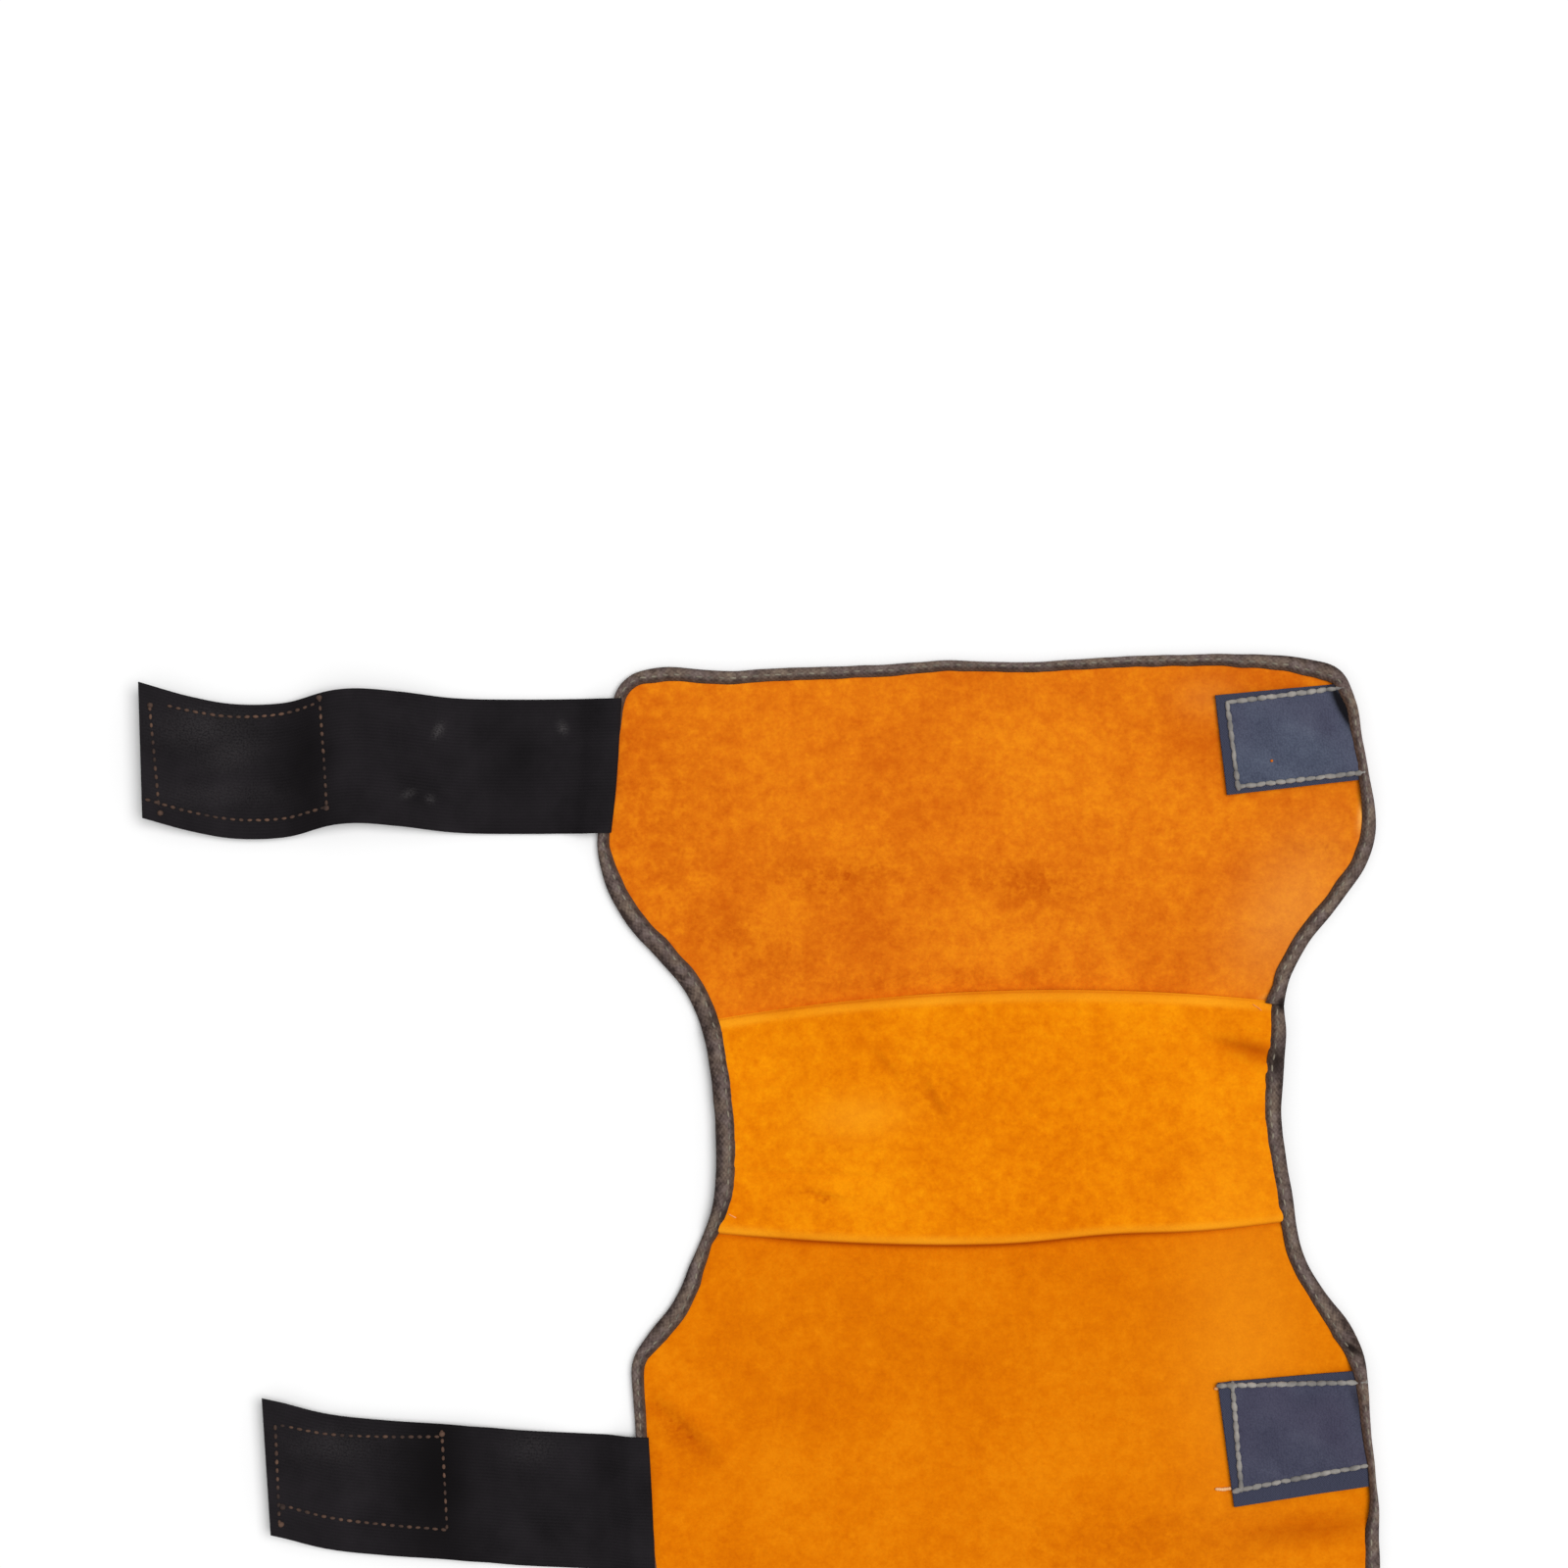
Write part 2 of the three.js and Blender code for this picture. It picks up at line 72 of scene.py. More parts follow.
camera_data = bpy.data.cameras.new("camera")
camera_data.lens = LENS
camera_data.sensor_width = SENSOR
camera = bpy.data.objects.new("camera", camera_data)
camera.location = VIEW_MIDDLE + Vector((0, 0, VIEW_WIDTH * LENS / SENSOR))
scene = bpy.context.scene
scene.collection.objects.link(camera)
scene.camera = camera
scene.view_settings.view_transform = "Standard"
print("camera height in mm:", round(camera.location.z / MM))

# %% Lay the floor
FLOOR_HALF = 30.0
FLOOR_DROP = 0.2 * MM
FLOOR_COLOUR = (0.97, 0.97, 0.97, 1)
FLOOR_ROUGHNESS = 0.9

floor_shape = bmesh.new()
bmesh.ops.create_grid(floor_shape, x_segments=1, y_segments=1, size=FLOOR_HALF)
bmesh.ops.translate(floor_shape, verts=floor_shape.verts, vec=(0, 0, -FLOOR_DROP))
floor_mesh = bpy.data.meshes.new("floor")
floor_shape.to_mesh(floor_mesh)
floor_shape.free()
floor = bpy.data.objects.new("floor", floor_mesh)
scene.collection.objects.link(floor)
floor_paint = bpy.data.materials.new("pale_floor")
floor_paint.use_nodes = True
floor_shader = floor_paint.node_tree.nodes["Principled BSDF"]
floor_shader.inputs["Base Color"].default_value = FLOOR_COLOUR
floor_shader.inputs["Roughness"].default_value = FLOOR_ROUGHNESS
floor_mesh.materials.append(floor_paint)
print("floor half width in m:", FLOOR_HALF)

# %% Light it softly from high on the right
SKY_STRENGTH = 0.48
KEY_PLACE = Vector((0.75, 0.45, 1.9))
KEY_SPREAD = math.radians(45)
KEY_STRENGTH = 2.0

sky = bpy.data.worlds.new("sky")
sky.use_nodes = True
sky.node_tree.nodes["Background"].inputs["Color"].default_value = (1, 1, 1, 1)
sky.node_tree.nodes["Background"].inputs["Strength"].default_value = SKY_STRENGTH
scene.world = sky
key_lamp = bpy.data.lights.new("key_light", "SUN")
key_lamp.angle = KEY_SPREAD
key_lamp.energy = KEY_STRENGTH
key_light = bpy.data.objects.new("key_light", key_lamp)
key_light.location = KEY_PLACE
aim = VIEW_MIDDLE - KEY_PLACE
key_light.rotation_euler = aim.to_track_quat("-Z", "Y").to_euler()
scene.collection.objects.link(key_light)
print("height of the light in degrees:", round(math.degrees(math.asin(-aim.normalized().z))))

# %% [markdown]
# ## Reading the CAD sheets
#
# Each CAD sheet is a slab whose upper face is a net of triangles in straight rows. Walking that net row
# by row gives back the rows of points it was made from. A smooth line through those points can then be
# read as finely as a piece needs, so the new cloth lies where the CAD says and nothing has to be fitted
# by eye.

# %% Walk the upper face of a sheet, row by row
FACING_UP = 0.2
WELD = 0.001 * MM


def upper_rows(node):
    """The points of a CAD sheet's upper face, in rows from -Y to +Y, each running from -X to +X."""
    net = bmesh.new()
    net.from_mesh(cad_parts[node].data)
    bmesh.ops.remove_doubles(net, verts=net.verts, dist=WELD)
    net.normal_update()
    rest = [face for face in net.faces if face.normal.z < FACING_UP]
    bmesh.ops.delete(net, geom=rest, context="FACES")
    corner = next(v for v in net.verts if len(v.link_faces) == 1)
    row = [corner, corner.link_edges[0].other_vert(corner)]
    while len(row[-1].link_faces) > 2:
        rim = [e.other_vert(row[-1]) for e in row[-1].link_edges if e.is_boundary]
        row.append(next(v for v in rim if v != row[-2]))
    rows = []
    walked = set()
    while row:
        rows.append([v.co.copy() for v in row])
        row = row_beyond(row, walked)
    points = np.array(rows)
    net.free()
    if abs(points[0, -1, 0] - points[0, 0, 0]) < abs(points[-1, 0, 0] - points[0, 0, 0]):
        points = points.transpose(1, 0, 2)
    if points[0, 0, 0] > points[0, -1, 0]:
        points = points[:, ::-1]
    if points[0, 0, 1] > points[-1, 0, 1]:
        points = points[::-1]
    return points


def row_beyond(row, walked):
    """The row of points across the strip of triangles next to this row, or an empty list past the last."""
    beyond = []
    for a, b in zip(row, row[1:]):
        near = face_across(a, b, walked)
        if near is None:
            return []
        above_a = next(v for v in near.verts if v not in (a, b))
        far = face_across(b, above_a, walked)
        above_b = next(v for v in far.verts if v not in (b, above_a))
        beyond.append(above_a)
    return beyond + [above_b]


def face_across(a, b, walked):
    """The triangle on the edge from a to b that the walk hasn't taken yet."""
    shared = next(e for e in a.link_edges if e.other_vert(a) == b)
    face = next((f for f in shared.link_faces if f not in walked), None)
    walked.add(face)
    return face


SHEETS = (
    "thigh_panel", "knee_panel", "shin_panel",
    "upper_strap", "lower_strap", "upper_hook_patch", "lower_hook_patch",
    "upper_loop_patch", "lower_loop_patch",
)
cad_rows = {node: upper_rows(node) for node in SHEETS}
for node, rows in cad_rows.items():
    print(node, "rows and columns:", rows.shape[:2])


# %% Read a smooth surface through the rows
def line_weights(count, places):
    """How much each of count points counts in a smooth line through them.

    There is a row of weights for each place, and a place runs from 0 to count - 1.
    """
    weights = np.zeros((len(places), count))
    for i, place in enumerate(places):
        first = min(int(place), count - 2)
        t = place - first
        shares = (
            (-t**3 + 2 * t**2 - t) / 2,
            (3 * t**3 - 5 * t**2 + 2) / 2,
            (-3 * t**3 + 4 * t**2 + t) / 2,
            (t**3 - t**2) / 2,
        )
        for k, share in enumerate(shares, first - 1):
            if k < 0:
                weights[i, 0] += 2 * share
                weights[i, 1] -= share
            elif k >= count:
                weights[i, -1] += 2 * share
                weights[i, -2] -= share
            else:
                weights[i, k] += share
    return weights


def read_surface(points, row_places, column_places):
    """A finer net of points on the smooth surface through a net of points."""
    down = line_weights(points.shape[0], row_places)
    along = line_weights(points.shape[1], column_places)
    return np.einsum("ri,ijk,cj->rck", down, points, along)


def even_places(count, cuts):
    """Places that cut each step between count points into equal parts."""
    return np.linspace(0, count - 1, (count - 1) * cuts + 1)


def cloth_points(node, row_cuts, column_cuts):
    """The smooth surface of a CAD sheet, with every step between its points cut into equal parts."""
    rows = cad_rows[node]
    row_places = even_places(rows.shape[0], row_cuts)
    return read_surface(rows, row_places, even_places(rows.shape[1], column_cuts))


print("points on a strap at 4 cuts:", cloth_points("upper_strap", 4, 4).shape[:2])


# %% Measure lines and surfaces
def lengths_along(line):
    """How far each point of a line is from the line's start."""
    steps = np.linalg.norm(np.diff(line, axis=0), axis=1)
    return np.concatenate([[0], np.cumsum(steps)])


def points_at(line, lengths):
    """The points of a line that are the given lengths from its start."""
    along = lengths_along(line)
    return np.stack([np.interp(lengths, along, line[:, k]) for k in range(3)], axis=1)


def middle_lengths(points):
    """How far each point of a net's middle row, and of its middle column, is from that line's start."""
    return lengths_along(points[len(points) // 2]), lengths_along(points[:, points.shape[1] // 2])


def flat_net(along, across):
    """The places of a net's points on the flat cloth, from their lengths along and across it."""
    return np.stack(np.meshgrid(along, across), axis=2)


# %% Lay a sheet of faces on a net of points
nets = {}


def lay_sheet(name, points, cut=None, **marks):
    """A sheet with a corner at each point. cut gives each point's place on the flat cloth, in metres.

    marks are other numbers, one for each point, that the sheet keeps under their own names.
    """
    down = points.shape[0] - 1
    along = points.shape[1] - 1
    sheet = bmesh.new()
    bmesh.ops.create_grid(sheet, x_segments=along, y_segments=down, size=0.5)
    flat = sheet.loops.layers.uv.new("cut")
    layers = {mark: sheet.verts.layers.float.new(mark) for mark in marks}
    place = {}
    for corner in sheet.verts:
        place[corner] = (round((corner.co.y + 0.5) * down), round((corner.co.x + 0.5) * along))
    for corner in sheet.verts:
        corner.co = points[place[corner]]
        for mark, layer in layers.items():
            corner[layer] = marks[mark][place[corner]]
    if cut is not None:
        for face in sheet.faces:
            for loop in face.loops:
                loop[flat].uv = cut[place[loop.vert]]
    nets[name] = points
    return new_piece(name, sheet)


def new_piece(name, shape):
    """A piece of the cover made from a bmesh, shaded smooth and riding on the one body."""
    for face in shape.faces:
        face.smooth = True
    mesh = bpy.data.meshes.new(name)
    shape.to_mesh(mesh)
    shape.free()
    piece = bpy.data.objects.new(name, mesh)
    scene.collection.objects.link(piece)
    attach(piece, "root")
    return piece


print("sheets to lay:", len(SHEETS), "and the binding")

# %% Give a sheet its wall and its finish
EDGE_SEGMENTS = 2
EDGE_ANGLE = math.radians(60)


def thicken(piece, thickness, offset):
    """Gives a sheet its wall: below the sheet for an offset of -1, or half on each side for 0."""
    wall = piece.modifiers.new("wall", "SOLIDIFY")
    wall.thickness = thickness
    wall.offset = offset
    return wall


def soften_edges(piece, rounding):
    """Rounds the edges of a sheet's wall."""
    rounded = piece.modifiers.new("edge", "BEVEL")
    rounded.width = rounding
    rounded.segments = EDGE_SEGMENTS
    rounded.limit_method = "ANGLE"
    rounded.angle_limit = EDGE_ANGLE


def dress(piece, material, slot, *nodes):
    """Gives a piece its finish, and hides the CAD nodes it stands for."""
    piece.data.materials.append(material)
    if nodes:
        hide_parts(*nodes)


print("steps in a rounded edge:", EDGE_SEGMENTS)

# %% [markdown]
# ## Finishes that several pieces share
#
# Suede, woven tape and thread each turn up on several pieces in different colours. The pattern of each
# one is built once, as a node group that puts out masks and heights, and every material places it with
# its own values and keeps its own shader. Patterns that follow a strap or tape read the piece's own UV
# map, which is its flat cut in metres. Suede has no direction to follow, so it reads Object
# coordinates. Colours are written as sRGB levels from 0 to 255, as a picture editor shows them.


# %% Set a node's inputs
def colour(red, green, blue):
    """An sRGB colour in 0 to 255, as the linear colour that a shader takes."""
    levels = [c / 255 for c in (red, green, blue)]
    return (*[c / 12.92 if c <= 0.04045 else ((c + 0.055) / 1.055) ** 2.4 for c in levels], 1)


def feed(tree, socket, value):
    """Sets a socket to a number or an sRGB colour, or links another socket to it."""
    if isinstance(value, bpy.types.NodeSocket):
        tree.links.new(value, socket)
    elif socket.type == "RGBA":
        socket.default_value = colour(*value)
    else:
        socket.default_value = value


def set_inputs(tree, node, **values):
    """Feeds a node's named inputs. A name has _ for each space."""
    for name, value in values.items():
        feed(tree, node.inputs[name.replace("_", " ")], value)


def put(tree, kind, **values):
    """A new node with its named inputs set."""
    node = tree.nodes.new(kind)
    set_inputs(tree, node, **values)
    return node


print("mid grey as a linear colour:", round(colour(128, 128, 128)[0], 3))


# %% Nodes that give a number
def sums(tree, operation, a, b=0.0, c=0.0):
    """A Math node's result."""
    node = tree.nodes.new("ShaderNodeMath")
    node.operation = operation
    for socket, value in zip(node.inputs, (a, b, c)):
        feed(tree, socket, value)
    return node.outputs[0]


def weighed(tree, *terms, start=0.0):
    """The sum of some values, each times its weight, and a start."""
    total = start
    for value, weight in terms:
        total = sums(tree, "MULTIPLY_ADD", value, weight, total)
    return total


def fade(tree, value, start, end, low=0.0, high=1.0, kind="SMOOTHSTEP"):
    """Runs from low to high as a value goes from start to end."""
    node = tree.nodes.new("ShaderNodeMapRange")
    node.interpolation_type = kind
    for socket, given in zip(node.inputs, (value, start, end, low, high)):
        feed(tree, socket, given)
    return node.outputs[0]


def cloud(tree, place, scale, detail=3.0, roughness=0.55, distortion=0.0):
    """A noise that varies over the surface, mostly between 0.3 and 0.7."""
    node = put(tree, "ShaderNodeTexNoise", Vector=place, Scale=scale, Detail=detail, Roughness=roughness,
               Distortion=distortion)
    return node.outputs[0]


def marked(tree, mark):
    """A number that a sheet keeps at each point."""
    node = put(tree, "ShaderNodeAttribute")
    node.attribute_name = mark
    return node.outputs["Fac"]


print("noise, fades and sums ready")


# %% Places, colours and bumps
def flat_place(tree):
    """The place on a piece's flat cut, in metres."""
    node = put(tree, "ShaderNodeUVMap")
    node.uv_map = "cut"
    return node.outputs[0]


def object_place(tree):
    """The place in the cover's frame, in metres."""
    return put(tree, "ShaderNodeTexCoord").outputs["Object"]


def ramp(tree, factor, *stops):
    """A colour that runs through the given stops as the factor goes from 0 to 1."""
    node = put(tree, "ShaderNodeValToRGB", Fac=factor)
    elements = node.color_ramp.elements
    while len(elements) < len(stops):
        elements.new(0.5)
    for element, (position, tone) in zip(elements, stops):
        element.position = position
        element.color = colour(*tone)
    return node.outputs["Color"]


def mix(tree, factor, one, other, blend="MIX"):
    """Two colours mixed by a factor. A Mix node keeps its colour sockets at 6, 7 and 2."""
    node = tree.nodes.new("ShaderNodeMix")
    node.data_type = "RGBA"
    node.blend_type = blend
    feed(tree, node.inputs["Factor"], factor)
    feed(tree, node.inputs[6], one)
    feed(tree, node.inputs[7], other)
    return node.outputs[2]


def bump(tree, shader, height, depth, strength=1.0):
    """Tilts a shader's normal by a height that varies over the surface."""
    node = put(tree, "ShaderNodeBump", Height=height, Distance=depth, Strength=strength)
    set_inputs(tree, shader, Normal=node.outputs["Normal"])


print("ramps, mixes and bumps ready")


# %% Node groups and materials
def pattern_group(name, outputs, **numbers):
    """A node group that takes a Vector and some named numbers.

    Gives the group, its input sockets and its output node.
    """
    group = bpy.data.node_groups.new(name, "ShaderNodeTree")
    group.interface.new_socket("Vector", in_out="INPUT", socket_type="NodeSocketVector")
    for label, default in numbers.items():
        label = label.replace("_", " ")
        socket = group.interface.new_socket(label, in_out="INPUT", socket_type="NodeSocketFloat")
        socket.default_value = default
    for label in outputs:
        group.interface.new_socket(label, in_out="OUTPUT", socket_type="NodeSocketFloat")
    return group, group.nodes.new("NodeGroupInput").outputs, group.nodes.new("NodeGroupOutput")


def use_group(tree, group, **values):
    """Places a node group in a material. Gives its outputs."""
    node = tree.nodes.new("ShaderNodeGroup")
    node.node_tree = group
    set_inputs(tree, node, **values)
    return node.outputs


def new_finish(name):
    """A material, its node tree and its shader."""
    material = bpy.data.materials.new(name)
    material.use_nodes = True
    tree = material.node_tree
    return material, tree, tree.nodes["Principled BSDF"]


print("groups ready")

# %% Suede's nap
suede_nap, nap_in, nap_out = pattern_group(
    "suede_nap", ["Dye", "Spot", "Fibre", "Height"], Blotch_Scale=42.0
)
nap_place = nap_in["Vector"]
broad = cloud(suede_nap, nap_place, 13.0, 2.0)
blotch = cloud(suede_nap, nap_place, nap_in["Blotch Scale"], 4.0, 0.6, 0.3)
mottle = cloud(suede_nap, nap_place, 230.0)
grain = cloud(suede_nap, nap_place, 700.0, 2.0)
fibre = cloud(suede_nap, nap_place, 1300.0, 3.0, 0.7)
spot = cloud(suede_nap, nap_place, 330.0, 1.0)
set_inputs(
    suede_nap, nap_out,
    Dye=weighed(suede_nap, (broad, 0.26), (blotch, 0.27), (mottle, 0.31), (grain, 0.16)),
    Spot=fade(suede_nap, spot, 0.60, 0.74),
    Fibre=fibre,
    Height=weighed(suede_nap, (grain, 0.6), (fibre, 0.4)),
)
print("suede_nap nodes:", len(suede_nap.nodes))

# %% Woven threads
weave, weave_in, weave_out = pattern_group(
    "weave", ["Thread", "Rib", "Fuzz"], Along_Pitch=1.2 * MM, Across_Pitch=1.0 * MM
)
woven_place = put(weave, "ShaderNodeSeparateXYZ", Vector=weave_in["Vector"]).outputs
turns_along = sums(weave, "DIVIDE", woven_place["X"], weave_in["Along Pitch"])
turns_across = sums(weave, "DIVIDE", woven_place["Y"], weave_in["Across Pitch"])
wave_along = sums(weave, "SINE", sums(weave, "MULTIPLY", turns_along, math.tau))
wave_across = sums(weave, "SINE", sums(weave, "MULTIPLY", turns_across, math.tau))
crossing = sums(weave, "MULTIPLY", wave_along, wave_across)
set_inputs(
    weave, weave_out,
    Thread=weighed(weave, (crossing, 0.5), start=0.5),
    Rib=weighed(weave, (wave_across, 0.5), start=0.5),
    Fuzz=cloud(weave, weave_in["Vector"], 1400.0, 3.0, 0.65),
)
print("weave nodes:", len(weave.nodes))

# %% Spun thread
spun_thread, thread_in, thread_out = pattern_group("spun_thread", ["Twist", "Height"])
set_inputs(
    spun_thread, thread_out,
    Twist=cloud(spun_thread, thread_in["Vector"], 160.0, 2.0),
    Height=cloud(spun_thread, thread_in["Vector"], 900.0),
)
print("spun_thread nodes:", len(spun_thread.nodes))

# %% [markdown]
# ## The suede panels
#
# Welding covers are cut from split cowhide, brushed to a short nap on both sides. The dye takes
# unevenly, so the orange is full of soft blotches, and each piece of hide comes out a little different:
# the knee is the yellowest of the three. Creases, rubs and pale places are set out in short tables. A
# noise could scatter them, but a table puts each one where the real hide has it.
#
# The panels are sheets on the CAD rows. Before two panels are sewn, their edges are skived, which means
# shaved thin, so that they roll down into the seam. Rows of points crowd there to keep the roll round,
# and each rolled edge tucks a little under its neighbour, so no light comes through. Beside a seam the
# hide is painted paler, a painted highlight on its rolled edge, and painted shade lies in the seam. At
# one place the lower seam is drawn up.

# %% Suede in three shades
SPOTTING = 0.10
RUBBED_SPOTTING = 0.5
HIDES = {
    # finish: its dark, middle, light, worn and pale colours, and how many blotches to the metre; the worn
    # colour is also its painted shade
    "thigh_hide": ((208, 99, 12), (223, 117, 16), (237, 136, 19), (186, 78, 5), (252, 176, 80), 42.0),
    "knee_hide": ((220, 113, 1), (234, 130, 3), (245, 147, 6), (184, 78, 1), (252, 164, 28), 36.0),
    "shin_hide": ((211, 106, 1), (222, 118, 2), (231, 130, 6), (180, 76, 1), (246, 152, 26), 30.0),
}


def suede(name, dark, middle, light, worn_and_shade, pale, blotch_scale):
    """Split suede: blotched dye, rubbed darker, paler spots, painted shade and highlight, hardly any
    shine.
    """
    material, tree, shader = new_finish(name)
    nap = use_group(tree, suede_nap, Vector=object_place(tree), Blotch_Scale=blotch_scale)
    tone = ramp(tree, nap["Dye"], (0.39, dark), (0.5, middle), (0.61, light))
    rubbed = marked(tree, "rubbed")
    spotting = weighed(tree, (rubbed, RUBBED_SPOTTING), start=SPOTTING)
    spots = sums(tree, "MULTIPLY", nap["Spot"], spotting)
    taken = fade(tree, nap["Dye"], 0.58, 0.42, low=0.35)
    tone = mix(tree, sums(tree, "MULTIPLY_ADD", rubbed, taken, spots), tone, worn_and_shade)
    tone = mix(tree, marked(tree, "paled"), tone, pale)
    # painted shade in creases and seams, in the worn colour
    tone = mix(tree, marked(tree, "shaded"), tone, worn_and_shade)
    fibres = fade(tree, nap["Fibre"], 0.3, 0.7, 0.93, 1.04, "LINEAR")
    tone = mix(tree, 1.0, tone, fibres, "MULTIPLY")
    set_inputs(tree, shader, Base_Color=tone, Roughness=0.95, Specular_IOR_Level=0.03,
               Sheen_Weight=0.04, Sheen_Roughness=0.5, Sheen_Tint=(255, 150, 20))
    bump(tree, shader, nap["Height"], 0.3 * MM, 0.45)
    return material


hides = {name: suede(name, *row) for name, row in HIDES.items()}
print("hides:", list(hides))

# %% How a mark lies on the cover
# The row of a mark is x, y, turn in degrees, half length, half width, all lengths in mm, and its strength.
# A smudge's strength is how much of its colour shows, from 0 to 1. Past 1, its full middle is wider.
# A crease's strength is its depth in mm. Beside it rises a lip. The lip's place and width are in the
# crease's half widths, and its height is a share of the depth.
LIP_PLACE = 2.0
LIP_WIDTH = 1.3
LIP_HEIGHT = 0.6


def bell(distance, width, power=2):
    """1 where the distance is nothing, falling smoothly towards 0 past a width."""
    return np.exp(-(np.abs(distance) / width) ** power)


def lengthwise(x, y, at_x, at_y, turn):
    """How far each point lies along and across a line through a place, turned by some degrees, in mm."""
    cos = math.cos(math.radians(turn))
    sin = math.sin(math.radians(turn))
    dx = x / MM - at_x
    dy = y / MM - at_y
    return dx * cos + dy * sin, dy * cos - dx * sin


def creased(x, y, creases):
    """How far a table of creases presses the hide down or up at each point, in metres."""
    height = np.zeros_like(x)
    for at_x, at_y, turn, half_long, half_wide, depth in creases:
        along, across = lengthwise(x, y, at_x, at_y, turn)
        lip = bell(across - LIP_PLACE * half_wide, LIP_WIDTH * half_wide)
        height += depth * MM * bell(along, half_long, 4) * (LIP_HEIGHT * lip - bell(across, half_wide))
    return height


def smudged(x, y, smudges):
    """How strongly a table of soft smudges shows at each point, from 0 to 1."""
    strength = np.zeros_like(x)
    for at_x, at_y, turn, half_long, half_wide, most in smudges:
        along, across = lengthwise(x, y, at_x, at_y, turn)
        strength = np.maximum(strength, most * bell(along, half_long) * bell(across, half_wide))
    return np.minimum(strength, 1)


print("a crease's lip, as a share of its depth:", LIP_HEIGHT)

# %% Where the hide is creased, rubbed, shaded and pale
CREASES = (
    (19.5, 93.0, -3, 30, 1.3, 0.50),
    (24.0, 85.0, -12, 7, 1.1, 0.55),
    (30.0, 101.0, 4, 22, 1.4, 0.32),
    (16.0, 97.0, 2, 18, 1.2, 0.35),
    (178.0, 139.5, -14, 13, 1.8, 0.7),
    (184.0, 131.0, -30, 8, 1.6, 0.4),
    (-30.0, -1.0, -42, 16, 2.2, 0.8),
    (196.0, -37.0, 5, 28, 3.2, 1.3),
    (205.0, 214.0, -4, 12, 1.8, 0.4),
    (45.5, 134.5, -45, 7, 1.2, 0.35),
    (63.5, 121.5, -62, 8, 1.2, 0.4),
)
RUBS = (
    # worn darker, most of all where the dye took well
    (32.0, 204.0, 14, 22, 8, 0.55),
    (99.0, 200.5, -8, 19, 8, 0.62),
    (12.0, 204.0, 0, 14, 8, 0.4),
    (-9.0, 180.0, -30, 34, 12, 0.35),
    (63.0, 165.0, 3, 60, 4, 0.35),
    (150.0, 263.0, -25, 26, 12, 0.12),
    (60.0, 128.0, -50, 16, 7, 0.25),
    (24.0, 85.0, -12, 7, 2, 0.7),
    (-29.0, -3.0, -42, 15, 5, 0.6),
    (160.0, -42.0, 10, 55, 13, 0.25),
    (205.0, 214.0, -4, 12, 3, 0.6),
    (-42.0, 228.0, 88, 48, 22, 0.3),
)
SHADES = (
    # painted shade, evenly darker, as in the hollow of a crease
    (45.0, 134.8, -45, 6, 2.0, 0.4),
    (63.5, 121.0, -62, 7, 1.8, 0.45),
    (182.5, 139.4, -14, 13, 4.0, 0.8),
    (203.0, -39.0, 5, 28, 5.5, 0.55),
    (-29.0, -3.0, -42, 15, 4.0, 0.15),
)
PALED = (
    # painted paler in patches
    (36.0, 115.0, 4, 17, 8, 0.45),
    (223.2, 227.5, 82, 7, 1.2, 0.9),
    (188.0, 158.0, 20, 6, 2, 0.5),
    (178.0, 26.0, 90, 62, 26, 0.42),
    (197.0, 190.0, 60, 30, 19, 0.27),
    (166.0, 270.0, 0, 12, 8, 0.12),
)
print("creases:", len(CREASES), "rubs:", len(RUBS), "shades:", len(SHADES), "paled:", len(PALED))

# %% How a hide lies
SWELL = 0.4 * MM
SWELL_SIZE = 46 * MM
SWELL_BIAS = 0.5
DIMPLE = 0.1 * MM
DIMPLE_SIZE = 7 * MM
DIMPLE_SEED = 9
SETTLE = 12 * MM


def unevenness(x, y, size, seed):
    """A soft random height between about -1 and 1 at each point."""
    spots = zip((x / size).ravel(), (y / size).ravel())
    return np.array([noise.noise(Vector((a, b, seed))) for a, b in spots]).reshape(x.shape)


def wander(along, size, seed):
    """A soft random number between about -1 and 1 at each distance along a line."""
    return unevenness(along, 0 * along, size, seed)


def hide_lie(x, y, seam_distance, seed):
    """How far a hide stands above its CAD sheet at each point: swells, dimples and creases."""
    settled = np.clip(seam_distance / SETTLE, 0, 1)
    lie = SWELL * (SWELL_BIAS + unevenness(x, y, SWELL_SIZE, seed)) * settled
    lie += DIMPLE * unevenness(x, y, DIMPLE_SIZE, seed + DIMPLE_SEED)
    return lie + creased(x, y, CREASES)


print("swell in mm:", SWELL / MM, "dimple in mm:", DIMPLE / MM)

# %% How a sewn edge rolls under
RIDGE_PLACE = 3.6 * MM
RIDGE_WIDTH = 1.5 * MM
RIDGE_SHARE = 0.85
RIDGE_WANDER = 0.5
RIDGE_SIZE = 40 * MM
LEAN_PLACE = 2.0 * MM
LEAN_WIDTH = 1.6 * MM
DRAWN_PLACE = 129 * MM
DRAWN_WIDTH = 27 * MM
DRAWN_FADE = 14 * MM
# paler beside a seam: a painted highlight on its rolled edge
PALE_PLACE = 2.2 * MM
PALE_FADE = 1.5 * MM
PALE_SHARE = 0.8
PALE_WANDER = 0.6
PALE_SIZE = 25 * MM


